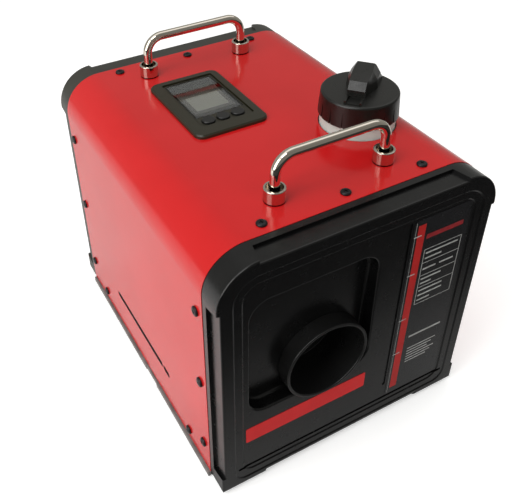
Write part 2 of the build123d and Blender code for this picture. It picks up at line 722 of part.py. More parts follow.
def intake_duct():
    """Tube that leads the room air from the rear grille to the heater."""
    front = JACKET_BACK_Y + GUARD_THICKNESS
    back = PANEL_FACE - PANEL_WALL - GRILLE_SEAT
    return rod_y(INLET_RADIUS + INTAKE_DUCT_WALL, AXIS_X, AXIS_Z, front, back) - rod_y(
        INLET_RADIUS, AXIS_X, AXIS_Z, front - 1, back + 1
    )


def power_socket():
    """Round panel socket with two pins."""
    face = PANEL_FACE - 2 * STEP_DEPTH
    end = face + SOCKET_FLANGE
    body = rod_y(SOCKET_RADIUS, SOCKET_X, SOCKET_Z, face - SOCKET_LENGTH, face)
    body += rod_y(SOCKET_FLANGE_RADIUS, SOCKET_X, SOCKET_Z, face, end)
    body -= rod_y(SOCKET_BORE, SOCKET_X, SOCKET_Z, end - SOCKET_BORE_DEPTH, end + 1)
    for side in (-1, 1):
        x = SOCKET_X + side * SOCKET_PIN_SPACING / 2
        body += rod_y(SOCKET_PIN_RADIUS, x, SOCKET_Z, end - SOCKET_BORE_DEPTH, end - SOCKET_FLANGE)
    return body


def outlet_duct():
    """Tube from the heater's nose to the front face, with a collar behind the pocket floor."""
    front = -PANEL_FACE
    back = JACKET_FRONT_Y - NOSE_LENGTH
    tube = rod_y(DUCT_RADIUS, AXIS_X, AXIS_Z, front, back)
    collar_front = -PANEL_FACE + POCKET_DEPTH + POCKET_WALL
    collar_back = collar_front + DUCT_COLLAR_LENGTH
    tube += rod_y(DUCT_RADIUS + DUCT_COLLAR_WIDTH, AXIS_X, AXIS_Z, collar_front, collar_back)
    tube -= rod_y(DUCT_BORE, AXIS_X, AXIS_Z, front - 1, back + 1)
    tube -= rod_y(DUCT_BORE + DUCT_SEAT, AXIS_X, AXIS_Z, back - SPIGOT_LENGTH, back + 1)
    return fillet(tube.faces().sort_by(Axis.Y)[0].edges(), DUCT_RIM_RADIUS)


# --- Heater

def jacket_solid(shrink):
    """Outer form of the jacket, drawn in by a wall thickness."""
    width = JACKET_WIDTH - 2 * shrink
    height = JACKET_HEIGHT - 2 * shrink
    body = RectangleRounded(width, height, JACKET_RADIUS - shrink)
    mouth_radius = DUCT_BORE + DUCT_SEAT - shrink
    mouth = RectangleRounded(2 * mouth_radius, 2 * mouth_radius, mouth_radius - 0.01)
    nose_front = JACKET_FRONT_Y - NOSE_LENGTH
    nose = loft(
        [Plane.XZ.offset(-nose_front) * mouth, Plane.XZ.offset(-JACKET_FRONT_Y - shrink) * body],
        ruled=True,
    )
    trunk = along_y(body, JACKET_FRONT_Y + shrink, JACKET_BACK_Y - shrink)
    return Pos(AXIS_X, 0, AXIS_Z) * (nose + trunk)


def jacket():
    """Both halves of the jacket in one piece."""
    nose_front = JACKET_FRONT_Y - NOSE_LENGTH
    shell = jacket_solid(0) - jacket_solid(JACKET_WALL)
    shell += rod_y(DUCT_BORE + DUCT_SEAT, AXIS_X, AXIS_Z, nose_front - SPIGOT_LENGTH, nose_front)
    mouth = DUCT_BORE + DUCT_SEAT - JACKET_WALL
    shell -= rod_y(mouth, AXIS_X, AXIS_Z, nose_front - SPIGOT_LENGTH - 1, nose_front + JACKET_WALL)
    shell -= rod_y(INLET_RADIUS, AXIS_X, AXIS_Z, JACKET_BACK_Y - 2 * JACKET_WALL, JACKET_BACK_Y + 1)
    for x, y in ((EXHAUST_X, EXHAUST_PORT_Y), (AIR_PIPE_X, AIR_PORT_Y)):
        shell -= rod_z(PORT_BOSS_RADIUS, x, y, JACKET_LOW_Z - 1, JACKET_LOW_Z + 2 * JACKET_WALL)
    left = AXIS_X - JACKET_WIDTH / 2
    shell -= rod_x(HOSE_RADIUS + PIPE_PLAY, NIPPLE_Y, NIPPLE_Z, left - 1, left + 2 * JACKET_WALL)
    return shell


def jacket_half(side):
    """Lower half for -1, upper half for 1, parted at the heater axis."""
    reach = 2 * JACKET_WIDTH
    align = Align.MIN if side > 0 else Align.MAX
    half = Box(reach, 2 * CASING_LENGTH, reach, align=(Align.CENTER, Align.CENTER, align))
    return jacket() & (Pos(AXIS_X, 0, AXIS_Z) * half)


def heat_exchanger():
    """Finned casting: domed front, cooling fins, exhaust port and plug boss."""
    body = rod_y(EXCHANGER_RADIUS, AXIS_X, AXIS_Z, EXCHANGER_FRONT_Y, EXCHANGER_BACK_Y)
    body = fillet(body.faces().sort_by(Axis.Y)[0].edges(), EXCHANGER_DOME)
    flange_front = EXCHANGER_BACK_Y - EXCHANGER_FLANGE
    body += rod_y(EXCHANGER_FLANGE_RADIUS, AXIS_X, AXIS_Z, flange_front, EXCHANGER_BACK_Y)
    for index in range(FIN_COUNT):
        body += Pos(AXIS_X, 0, AXIS_Z) * Rot(0, index * 360 / FIN_COUNT, 0) * cooling_fin()
    body += rod_z(PLUG_BOSS_RADIUS, AXIS_X, PLUG_Y, AXIS_Z, AXIS_Z + PLUG_BOSS_TOP)
    body += rod_z(PORT_BOSS_RADIUS, EXHAUST_X, EXHAUST_PORT_Y, JACKET_LOW_Z, AXIS_Z)
    body += rod_x(BARB_RADIUS, NIPPLE_Y, NIPPLE_Z, NIPPLE_TIP_X, AXIS_X)
    bore_front = EXCHANGER_FRONT_Y + EXCHANGER_END_WALL
    bore = rod_y(EXCHANGER_BORE, AXIS_X, AXIS_Z, bore_front, EXCHANGER_BACK_Y + 1)
    body -= fillet(bore.faces().sort_by(Axis.Y)[0].edges(), EXCHANGER_DOME - EXCHANGER_END_WALL)
    body -= rod_z(PIPE_RADIUS - PIPE_WALL, EXHAUST_X, EXHAUST_PORT_Y, JACKET_LOW_Z - 1, AXIS_Z)
    return body - rod_z(PLUG_RADIUS, AXIS_X, PLUG_Y, AXIS_Z, AXIS_Z + PLUG_BOSS_TOP + 1)


def cooling_fin():
    """One fin standing up from the heater axis, cut back at its front corner."""
    root = EXCHANGER_RADIUS - 1
    front = EXCHANGER_FRONT_Y + FIN_FRONT_GAP
    profile = Polygon(
        (front, root),
        (front + FIN_LENGTH, root),
        (front + FIN_LENGTH, FIN_TIP_RADIUS),
        (front + FIN_SWEEP, FIN_TIP_RADIUS),
        align=None,
    )
    return extrude(Plane.YZ * profile, FIN_THICKNESS / 2, both=True)


def combustion_chamber():
    """Steel flame tube, open in front, with its flange on the exchanger."""
    front = EXCHANGER_BACK_Y - CHAMBER_LENGTH
    tube = rod_y(CHAMBER_RADIUS, AXIS_X, AXIS_Z, front, FAN_HOUSING_FRONT_Y)
    tube += rod_y(EXCHANGER_FLANGE_RADIUS, AXIS_X, AXIS_Z, EXCHANGER_BACK_Y, FAN_HOUSING_FRONT_Y)
    inside = CHAMBER_RADIUS - CHAMBER_WALL
    tube -= rod_y(inside, AXIS_X, AXIS_Z, front - 1, EXCHANGER_BACK_Y)
    tube -= rod_y(SHAFT_RADIUS + SHAFT_PLAY, AXIS_X, AXIS_Z, EXCHANGER_BACK_Y - 1, FAN_HOUSING_FRONT_Y + 1)
    for inset in AIR_HOLE_ROW_INSETS:
        for index in range(AIR_HOLE_COUNT):
            hole = rod_z(AIR_HOLE_RADIUS, 0, EXCHANGER_BACK_Y - inset, inside - 1, CHAMBER_RADIUS + 1)
            tube -= Pos(AXIS_X, 0, AXIS_Z) * Rot(0, index * 360 / AIR_HOLE_COUNT, 0) * hole
    return tube - rod_z(PLUG_RADIUS, AXIS_X, PLUG_Y, AXIS_Z, AXIS_Z + CHAMBER_RADIUS + 1)


def glow_plug():
    """Plug screwed into the top of the casting, its tip in the flame tube."""
    low = AXIS_Z + PLUG_TIP
    seat = AXIS_Z + PLUG_BOSS_TOP
    plug = rod_z(PLUG_RADIUS, AXIS_X, PLUG_Y, low, seat)
    head = extrude(RegularPolygon(PLUG_HEAD_RADIUS, 6), PLUG_HEAD_HEIGHT)
    return plug + Pos(AXIS_X, PLUG_Y, seat) * head


def fan_housing():
    """Casting round the combustion fan: wheel chamber, bearing seat and air port."""
    front, back = FAN_HOUSING_FRONT_Y, FAN_HOUSING_BACK_Y
    body = rod_y(EXCHANGER_FLANGE_RADIUS, AXIS_X, AXIS_Z, front, back)
    boss = rod_z(PORT_BOSS_RADIUS, AIR_PIPE_X, AIR_PORT_Y, JACKET_LOW_Z, AXIS_Z)
    reach = EXCHANGER_FLANGE_RADIUS
    body += boss & block(AIR_PIPE_X - reach, AIR_PIPE_X + reach, front, back, 0, AXIS_Z)
    chamber_back = back - FAN_HOUSING_FLOOR
    body -= rod_y(WHEEL_RADIUS + WHEEL_CHAMBER_PLAY, AXIS_X, AXIS_Z, front - 1, chamber_back)
    body -= rod_y(BEARING_RADIUS, AXIS_X, AXIS_Z, back - BEARING_WIDTH, back + 1)
    body -= rod_y(SHAFT_RADIUS + SHAFT_PLAY, AXIS_X, AXIS_Z, front, back)
    port_top = AXIS_Z - WHEEL_RADIUS + WHEEL_CHAMBER_PLAY
    port = rod_z(PIPE_RADIUS - PIPE_WALL, AIR_PIPE_X, AIR_PORT_Y, JACKET_LOW_Z - 1, port_top)
    return body - port


def blower_motor():
    """Motor can with a seat for the rear bearing."""
    can = rod_y(MOTOR_RADIUS, AXIS_X, AXIS_Z, FAN_HOUSING_BACK_Y, MOTOR_BACK_Y)
    can = chamfer(can.faces().sort_by(Axis.Y)[-1].edges(), MOTOR_EDGE)
    can -= rod_y(SHAFT_RADIUS + SHAFT_PLAY, AXIS_X, AXIS_Z, FAN_HOUSING_BACK_Y - 1, MOTOR_BACK_Y + 1)
    return can - rod_y(BEARING_RADIUS, AXIS_X, AXIS_Z, MOTOR_BACK_Y - BEARING_WIDTH, MOTOR_BACK_Y + 1)


def motor_bearings():
    rings = []
    for back in (FAN_HOUSING_BACK_Y, MOTOR_BACK_Y):
        ring = rod_y(BEARING_RADIUS, AXIS_X, AXIS_Z, back - BEARING_WIDTH, back)
        rings.append(ring - rod_y(SHAFT_RADIUS + BEARING_PLAY, AXIS_X, AXIS_Z, back - BEARING_WIDTH - 1, back + 1))
    return Compound(rings)


def blower_shaft():
    front = FAN_HOUSING_FRONT_Y + SHAFT_END_GAP
    return rod_y(SHAFT_RADIUS, AXIS_X, AXIS_Z, front, FAN_FRONT_Y + FAN_LENGTH)


def combustion_fan():
    """Radial wheel: a disc with leaning blades round a hub."""
    back = FAN_HOUSING_BACK_Y - FAN_HOUSING_FLOOR - WHEEL_BACK_GAP
    front = back - WHEEL_HEIGHT
    wheel = rod_y(WHEEL_RADIUS, 0, 0, back - WHEEL_DISC, back) + rod_y(HUB_RADIUS, 0, 0, front, back)
    length = (WHEEL_RADIUS - HUB_RADIUS) * WHEEL_BLADE_REACH
    blade = block(-WHEEL_BLADE_THICKNESS / 2, WHEEL_BLADE_THICKNESS / 2, front, back, 0, length)
    for index in range(WHEEL_BLADES):
        leaning = Pos(0, 0, HUB_RADIUS + WHEEL_BLADE_START) * Rot(0, WHEEL_BLADE_LEAN, 0) * blade
        wheel += Rot(0, index * 360 / WHEEL_BLADES, 0) * leaning
    wheel &= rod_y(WHEEL_RADIUS, 0, 0, front, back)
    return Pos(AXIS_X, 0, AXIS_Z) * (wheel - rod_y(SHAFT_RADIUS, 0, 0, front - 1, back + 1))


def heating_fan():
    """Axial fan with pitched blades that blows the room air over the fins."""
    front = FAN_FRONT_Y
    back = front + FAN_LENGTH
    middle = (front + back) / 2
    hub = rod_y(FAN_HUB_RADIUS, 0, 0, front, back)
    hub = fillet(hub.faces().sort_by(Axis.Y)[-1].edges(), FAN_LENGTH / 3)
    blade = Box(FAN_BLADE_THICKNESS, 3 * FAN_LENGTH, FAN_RADIUS, align=(Align.CENTER, Align.CENTER, Align.MIN))
    sweep_space = rod_y(FAN_RADIUS, 0, 0, front, back) - rod_y(FAN_HUB_RADIUS - 2, 0, 0, front, back)
    pitched = (Pos(0, middle, 0) * Rot(0, 0, FAN_BLADE_PITCH) * blade) & sweep_space
    fan = hub
    for index in range(FAN_BLADES):
        fan += Rot(0, index * 360 / FAN_BLADES, 0) * pitched
    return Pos(AXIS_X, 0, AXIS_Z) * (fan - rod_y(SHAFT_RADIUS, 0, 0, front - 1, back + 1))


def inlet_guard():
    """Guard on the inlet of the jacket: rings on spokes."""
    outline = Circle(INLET_RADIUS + INTAKE_DUCT_WALL) - Circle(INLET_RADIUS - GUARD_BAR)
    spokes = Sketch()
    for index in range(GUARD_SPOKES):
        spoke = Pos(INLET_RADIUS / 2, 0) * Rectangle(INLET_RADIUS, GUARD_BAR)
        spokes += Rot(0, 0, index * 360 / GUARD_SPOKES) * spoke
    outline += spokes
    for radius in GUARD_RINGS:
        outline += Circle(radius + GUARD_BAR / 2) - Circle(radius - GUARD_BAR / 2)
    guard = along_y(outline, JACKET_BACK_Y, JACKET_BACK_Y + GUARD_THICKNESS)
    return Pos(AXIS_X, 0, AXIS_Z) * guard


def heater_board():
    """Control unit of the heater, saddled on the motor."""
    back = MOTOR_BACK_Y - MOTOR_EDGE
    left, right = AXIS_X - BOX_WIDTH / 2, AXIS_X + BOX_WIDTH / 2
    box = block(left, right, back - BOX_LENGTH, back, AXIS_Z, AXIS_Z + BOX_TOP)
    box = fillet(box.edges().filter_by(Axis.Y).group_by(Axis.Z)[-1], POST_RADIUS)
    box -= block(left - 1, right + 1, back - BOX_LENGTH - 1, back + 1, AXIS_Z - 1, AXIS_Z + MOTOR_RADIUS / 2)
    return box - rod_y(MOTOR_RADIUS, AXIS_X, AXIS_Z, back - BOX_LENGTH - 1, back + 1)


# --- Under the heater

def stud_places():
    half = GASKET_WIDTH / 2 - STUD_INSET
    rows = (GASKET_FRONT_Y + STUD_INSET, GASKET_BACK_Y - STUD_INSET)
    return [(AXIS_X + side * half, y) for side in (-1, 1) for y in rows]


def port_holes(radius, low, top):
    holes = []
    for x, y in ((EXHAUST_X, EXHAUST_PORT_Y), (AIR_PIPE_X, AIR_PORT_Y)):
        holes.append(rod_z(radius, x, y, low, top))
    return holes


def heater_gasket():
    left, right = AXIS_X - GASKET_WIDTH / 2, AXIS_X + GASKET_WIDTH / 2
    sheet = block(left, right, GASKET_FRONT_Y, GASKET_BACK_Y, GASKET_LOW_Z, JACKET_LOW_Z)
    sheet -= port_holes(PIPE_RADIUS, GASKET_LOW_Z - 1, JACKET_LOW_Z + 1)
    for x, y in stud_places():
        sheet -= rod_z(STUD_RADIUS, x, y, GASKET_LOW_Z - 1, JACKET_LOW_Z + 1)
    return sheet


def heater_brackets():
    """Two folded legs that carry the heater on the tray."""
    top = GASKET_LOW_Z
    legs = []
    for side in (-1, 1):
        inner = BRACKET_SPREAD / 2 - BRACKET_FLANGE
        outer = BRACKET_SPREAD / 2
        front, back = GASKET_FRONT_Y, GASKET_BACK_Y
        leg = block(inner, outer, front, back, top - BRACKET_SHEET, top)
        leg += block(outer - BRACKET_SHEET, outer, front, back, TRAY_FLOOR_Z, top)
        leg += block(outer - BRACKET_SHEET, outer + BRACKET_FLANGE, front, back, TRAY_FLOOR_Z, TRAY_FLOOR_Z + BRACKET_SHEET)
        if side < 0:
            leg = mirror(leg, about=Plane.YZ)
        leg = Pos(AXIS_X, 0, 0) * leg
        leg -= port_holes(PIPE_RADIUS + PIPE_PLAY, top - BRACKET_SHEET - 1, top + 1)
        for x, y in stud_places():
            leg -= rod_z(STUD_RADIUS, x, y, top - BRACKET_SHEET - 1, top + 1)
        legs.append(leg)
    return Compound(legs)


def heater_studs():
    """Four studs through gasket and brackets, each with its nut below."""
    studs = []
    nut_top = GASKET_LOW_Z - BRACKET_SHEET
    for x, y in stud_places():
        stud = rod_z(STUD_RADIUS, x, y, nut_top - NUT_HEIGHT - 1, JACKET_LOW_Z)
        nut = extrude(RegularPolygon(NUT_ACROSS_FLATS / 2, 6, major_radius=False), -NUT_HEIGHT)
        studs.append(stud + Pos(x, y, nut_top) * nut)
    return Compound(studs)


def port_pipe(x, y):
    """Bent pipe from a heater port down, then back to a wider stub in the rear panel."""
    start = (x, y, JACKET_LOW_Z)
    corner = (x, y, PIPE_RUN_Z)
    end_y = PANEL_FACE - STEP_DEPTH
    path = FilletPolyline(start, corner, (x, end_y, PIPE_RUN_Z), radius=PIPE_BEND)
    section = Circle(PIPE_RADIUS) - Circle(PIPE_RADIUS - PIPE_WALL)
    pipe = sweep(Plane(start, z_dir=(0, 0, -1)) * section, path)
    stub = rod_y(STUB_RADIUS, x, PIPE_RUN_Z, end_y - STUB_LENGTH, end_y)
    return pipe + (stub - rod_y(PIPE_RADIUS, x, PIPE_RUN_Z, end_y - STUB_LENGTH - 1, end_y + 1))


# --- Handles

def handle_bar(row):
    """Bar bent twice, standing on the floors of its two cups."""
    y = row * HANDLE_ROW_Y
    half = HANDLE_CENTRES / 2
    foot = CASING_TOP + CUP_FLOOR
    top = CASING_TOP + HANDLE_RISE - HANDLE_RADIUS
    path = FilletPolyline((-half, y, foot), (-half, y, top), (half, y, top), (half, y, foot), radius=HANDLE_BEND)
    bar = sweep(Plane((-half, y, foot)) * Circle(HANDLE_RADIUS), path)
    for x, place_y in handle_places(row):
        bar -= rod_z(HANDLE_SCREW_RADIUS, x, place_y, foot - 1, foot + HANDLE_SCREW_GRIP)
    return bar


def handle_cups(row):
    """Round cups under one handle, open round the bar."""
    cups = []
    for x, y in handle_places(row):
        cup = rod_z(CUP_RADIUS, x, y, CASING_TOP, CASING_TOP + CUP_HEIGHT)
        cup = fillet(cup.edges().group_by(Axis.Z)[-1], CUP_EDGE)
        cup -= rod_z(CUP_RADIUS - CUP_WALL, x, y, CASING_TOP + CUP_FLOOR, CASING_TOP + CUP_HEIGHT + 1)
        cups.append(cup - rod_z(HANDLE_SCREW_RADIUS, x, y, CASING_TOP - 1, CASING_TOP + CUP_FLOOR + 1))
    return Compound(cups)


def handle_screws():
    """Screws with washers, from inside the casing up into the bars."""
    screws = []
    for row in (-1, 1):
        for x, y in handle_places(row):
            washer_low = CEILING_Z - WASHER_THICKNESS
            tip = CASING_TOP + CUP_FLOOR + HANDLE_SCREW_GRIP - 1
            screw = rod_z(HANDLE_SCREW_RADIUS, x, y, washer_low, tip)
            screw += rod_z(WASHER_RADIUS, x, y, washer_low, CEILING_Z)
            screw += rod_z(HANDLE_SCREW_HEAD_RADIUS, x, y, washer_low - HANDLE_SCREW_HEAD, washer_low)
            screws.append(screw)
    return Compound(screws)


# --- Controller

def controller_cutout(low, top):
    """Rectangular hole in the casing under the bezel."""
    overlap = CUTOUT_OVERLAP
    return block(
        BEZEL_LEFT_X + overlap,
        BEZEL_RIGHT_X - overlap,
        BEZEL_FRONT_Y + overlap,
        BEZEL_BACK_Y - overlap,
        low,
        top,
    )


def button_places():
    return [(BUTTON_MIDDLE_X + side * BUTTON_PITCH, BUTTON_Y) for side in (-1, 0, 1)]


def window_sides(margin):
    return (
        FIELD_LEFT_X + WINDOW_MARGIN + margin,
        FIELD_RIGHT_X - WINDOW_MARGIN - margin,
        WINDOW_FRONT_Y + margin,
        FIELD_BACK_Y - WINDOW_MARGIN - margin,
    )


def controller_bezel():
    """Flat frame with a sunk field, a window opening and three button holes."""
    top = CASING_TOP + BEZEL_HEIGHT
    frame_sides = (BEZEL_LEFT_X, BEZEL_RIGHT_X, BEZEL_FRONT_Y, BEZEL_BACK_Y)
    frame = top_rectangle(*frame_sides, BEZEL_RADIUS, CASING_TOP, top)
    frame = chamfer(frame.edges().group_by(Axis.Z)[-1], BEZEL_EDGE)
    field_sides = (FIELD_LEFT_X, FIELD_RIGHT_X, FIELD_FRONT_Y, FIELD_BACK_Y)
    frame -= top_rectangle(*field_sides, FIELD_RADIUS, FIELD_Z, top + 1)
    frame -= field_groove(top)
    frame -= block(*window_sides(0), FIELD_Z - WINDOW_THICKNESS, top)
    frame -= block(*window_sides(WINDOW_LEDGE), CASING_TOP - 1, top)
    for x, y in button_places():
        frame -= rod_z(BUTTON_RADIUS + BUTTON_PLAY, x, y, CASING_TOP - 1, top)
    return frame


def field_groove(top):
    """Narrow groove all round the sunk field, at the foot of its wall."""
    width = FIELD_GROOVE_WIDTH
    low = FIELD_Z - FIELD_GROOVE_DEPTH
    left, right, front, back = FIELD_LEFT_X, FIELD_RIGHT_X, FIELD_FRONT_Y, FIELD_BACK_Y
    groove = top_rectangle(left, right, front, back, FIELD_RADIUS, low, top)
    inner = (left + width, right - width, front + width, back - width)
    return groove - top_rectangle(*inner, FIELD_RADIUS - width, low - 1, top + 1)


def display_window():
    """Glass seated in the bezel."""
    return block(*window_sides(WINDOW_PLAY), FIELD_Z - WINDOW_THICKNESS, FIELD_Z)


def board_levels():
    """Lower and upper face of the controller board."""
    upper = CASING_TOP - BOARD_DROP + BOARD_THICKNESS
    return upper - BOARD_THICKNESS, upper


def controller_sides(inset):
    inward = CUTOUT_OVERLAP + CUTOUT_PLAY + inset
    return (
        BEZEL_LEFT_X + inward,
        BEZEL_RIGHT_X - inward,
        BEZEL_FRONT_Y + inward,
        BEZEL_BACK_Y - inward,
    )


def post_places():
    left, right, front, back = controller_sides(CONTROL_WALL + POST_INSET)
    return [(x, y) for x in (left, right) for y in (front, back)]


def controller_housing():
    """Open box hung under the bezel, with four posts for the board."""
    low = CASING_TOP - CONTROL_DEPTH
    box = block(*controller_sides(0), low, CASING_TOP)
    box -= block(*controller_sides(CONTROL_WALL), low + CONTROL_WALL, CASING_TOP + 1)
    for x, y in post_places():
        box += rod_z(POST_RADIUS, x, y, low + CONTROL_WALL, board_levels()[0])
    return box


def controller_board():
    """Circuit board with a switch under each button."""
    low, top = board_levels()
    board = block(*controller_sides(CONTROL_WALL + BOARD_PLAY), low, top)
    switch_top = CASING_TOP - BUTTON_FLANGE - BUTTON_STEM - BUTTON_TRAVEL - SWITCH_PLAY
    half = SWITCH_SIZE / 2
    for x, y in button_places():
        board += block(x - half, x + half, y - half, y + half, top, switch_top)
    return board


def display_panel():
    """Display module between the board and the window."""
    top = FIELD_Z - WINDOW_THICKNESS - WINDOW_PLAY
    return block(DISPLAY_LEFT_X, DISPLAY_RIGHT_X, DISPLAY_FRONT_Y, DISPLAY_BACK_Y, board_levels()[1], top)


def button(x, y):
    """Push button with a flange that keeps it in the bezel."""
    top = FIELD_Z + BUTTON_PROUD
    flange_low = CASING_TOP - BUTTON_FLANGE
    key = rod_z(BUTTON_RADIUS, x, y, flange_low, top)
    key = fillet(key.edges().group_by(Axis.Z)[-1], BUTTON_DOME)
    key += rod_z(BUTTON_FLANGE_RADIUS, x, y, flange_low, CASING_TOP)
    return key + rod_z(BUTTON_STEM_RADIUS, x, y, flange_low - BUTTON_STEM, flange_low)


# --- Fuel tank and cap

def tank_block(inset):
    """Form of the tank, drawn in by an inset for its inside."""
    half = CASING_LENGTH / 2 - TANK_END_GAP - inset
    low, top = TRAY_FLOOR_Z + inset, TANK_TOP_Z - inset
    solid = block(TANK_LEFT_X + inset, TANK_RIGHT_X - inset, -half, half, low, top)
    return fillet(solid.edges(), TANK_RADIUS - inset)


def fuel_tank():
    """Moulded tank on the tray, with its filler hole and the hole for its outlet."""
    tank = tank_block(0) - tank_block(TANK_WALL)
    tank -= rod_z(NECK_BORE, NECK_X, NECK_Y, TANK_TOP_Z - 2 * TANK_WALL, TANK_TOP_Z + 1)
    return tank - rod_x(BARB_RADIUS * 2, FUEL_Y, FUEL_Z, TANK_LEFT_X - 1, TANK_LEFT_X + 2 * TANK_WALL)


def tank_neck():
    """Filler neck welded on the tank: a collar through the casing and the tube inside the cap."""
    low = TANK_TOP_Z - TANK_WALL
    neck = rod_z(NECK_COLLAR_RADIUS, NECK_X, NECK_Y, low, CASING_TOP + NECK_COLLAR_TOP)
    neck += rod_z(NECK_RADIUS, NECK_X, NECK_Y, TANK_TOP_Z, NECK_TOP_Z)
    neck -= tank_block(0)
    return neck - rod_z(NECK_BORE, NECK_X, NECK_Y, low - 1, NECK_TOP_Z + 1)


def cap_seal():
    """Flat ring between the neck and the cap."""
    ring = rod_z(NECK_RADIUS, NECK_X, NECK_Y, NECK_TOP_Z, NECK_TOP_Z + SEAL_THICKNESS)
    return ring - rod_z(NECK_RADIUS - SEAL_WIDTH, NECK_X, NECK_Y, NECK_TOP_Z - 1, CAP_TOP_Z)


def cap_grip():
    """Grip across the cap: two prongs in front, a ramp and a raised thumb rest that spreads out."""
    side_view = Polygon(
        (GRIP_FRONT, -1),
        (GRIP_FRONT, GRIP_PRONG_TOP),
        (GRIP_STEP, GRIP_PRONG_TOP),
        (GRIP_STEP, GRIP_STEP_TOP),
        (GRIP_RAMP_HEAD, GRIP_RAMP_TOP),
        (GRIP_REST_FRONT, GRIP_HEIGHT - GRIP_REST_DROP),
        (GRIP_REST_BACK, GRIP_HEIGHT),
        (GRIP_REST_BACK + GRIP_REST_ROUND, GRIP_HEIGHT - GRIP_REST_ROUND),
        (GRIP_HEEL, GRIP_HEEL_TOP),
        (GRIP_BACK, GRIP_PRONG_TOP),
        (GRIP_BACK, -1),
        align=None,
    )
    profile = Plane.XZ * side_view
    bar = extrude(profile, GRIP_WIDTH / 2, both=True)
    half = GRIP_SLOT_WIDTH / 2
    bar -= block(GRIP_FRONT - 1, GRIP_SLOT_END, -half, half, GRIP_SLOT_FLOOR, GRIP_HEIGHT)
    wings = grip_wings() & extrude(profile, WING_FOOT_WIDTH, both=True)
    return Rot(0, 0, GRIP_ANGLE) * (bar + wings)


def grip_wings():
    """Swelling sides that carry the thumb rest down onto the cap."""
    sections = [(-1, WING_FOOT_WIDTH), (WING_BEND, WING_BEND_WIDTH), (GRIP_HEIGHT, GRIP_WIDTH)]
    outlines = [Pos(0, 0, z) * wing_outline(width / 2) for z, width in sections]
    lower = loft(outlines[:2], ruled=True)
    upper = loft(outlines[1:], ruled=True)
    return lower + upper


def wing_outline(half):
    """Plan of the thumb rest's sides: from the ramp's width out to a given half width."""
    narrow = GRIP_WIDTH / 2
    back = GRIP_BACK + 1
    return Polygon(
        (GRIP_RAMP_HEAD, -narrow),
        (WING_FULL, -half),
        (back, -half),
        (back, half),
        (WING_FULL, half),
        (GRIP_RAMP_HEAD, narrow),
        align=None,
    )


def fuel_cap():
    """Screw cap: tapered skirt with upright grooves and a grip bar on top."""
    cap = loft(
        [
            Pos(0, 0, CAP_LOW_Z) * Circle(CAP_LOW_RADIUS),
            Pos(0, 0, CAP_TOP_Z) * Circle(CAP_TOP_RADIUS),
        ]
    )
    cap = fillet(cap.edges().group_by(Axis.Z)[-1], CAP_EDGE)
    for index in range(CAP_RIB_COUNT):
        groove = block(
            CAP_LOW_RADIUS - CAP_RIB_DEPTH,
            CAP_LOW_RADIUS + 1,
            -CAP_RIB_WIDTH / 2,
            CAP_RIB_WIDTH / 2,
            CAP_LOW_Z - 1,
            CAP_TOP_Z - 2 * CAP_EDGE,
        )
        cap -= Rot(0, 0, (index + 0.5) * 360 / CAP_RIB_COUNT) * groove
    inside = NECK_RADIUS + CAP_PLAY
    cap -= rod_z(inside, 0, 0, CAP_LOW_Z - 1, NECK_TOP_Z + SEAL_THICKNESS)
    cap += Pos(0, 0, CAP_TOP_Z) * cap_grip()
    return Pos(NECK_X, NECK_Y, 0) * cap


def tank_strap():
    """Steel band over the tank, with a foot on the tray beside it."""
    middle = PANEL_BACK - STRAP_BACK_GAP
    front = middle - STRAP_WIDTH / 2
    back = middle + STRAP_WIDTH / 2
    sheet = STRAP_SHEET
    left, right = TANK_LEFT_X - sheet, TANK_RIGHT_X + sheet
    band = block(left, right, front, back, TRAY_FLOOR_Z, TANK_TOP_Z + sheet)
    band = fillet(band.edges().filter_by(Axis.Y).group_by(Axis.Z)[-1], TANK_RADIUS + sheet)
    inner = block(TANK_LEFT_X, TANK_RIGHT_X, front - 1, back + 1, TRAY_FLOOR_Z - 1, TANK_TOP_Z)
    band -= fillet(inner.edges().filter_by(Axis.Y).group_by(Axis.Z)[-1], TANK_RADIUS)
    return band + block(left - STRAP_FOOT, left, front, back, TRAY_FLOOR_Z, TRAY_FLOOR_Z + sheet)


# --- Fuel path

def tank_fitting():
    """Outlet low in the tank wall, with a barb for the first hose."""
    flange_left = TANK_LEFT_X - FITTING_FLANGE
    fitting = rod_x(FITTING_RADIUS, FUEL_Y, FUEL_Z, flange_left, TANK_LEFT_X)
    fitting += rod_x(2 * BARB_RADIUS, FUEL_Y, FUEL_Z, TANK_LEFT_X, TANK_LEFT_X + TANK_WALL + 3)
    return fitting + rod_x(BARB_RADIUS, FUEL_Y, FUEL_Z, flange_left - BARB_LENGTH, flange_left)


def fuel_filter():
    """Inline filter lying on the tray."""
    z = TRAY_FLOOR_Z + FILTER_RADIUS
    right = FILTER_RIGHT_X
    left = right - FILTER_LENGTH
    can = rod_x(FILTER_RADIUS, FUEL_Y, z, left, right)
    can = chamfer(can.edges().filter_by(GeomType.CIRCLE), BARB_RADIUS)
    return can + rod_x(BARB_RADIUS, FUEL_Y, z, left - BARB_LENGTH, right + BARB_LENGTH)


def tank_hose():
    """Hose from the tank outlet to the filter."""
    filter_z = TRAY_FLOOR_Z + FILTER_RADIUS
    start = TANK_LEFT_X - FITTING_FLANGE
    return hose(
        [
            (start, FUEL_Y, FUEL_Z),
            (start - BARB_LENGTH - 4, FUEL_Y, FUEL_Z),
            (FILTER_RIGHT_X + BARB_LENGTH + 4, FUEL_Y, filter_z),
            (FILTER_RIGHT_X, FUEL_Y, filter_z),
        ],
        HOSE_BEND,
    )


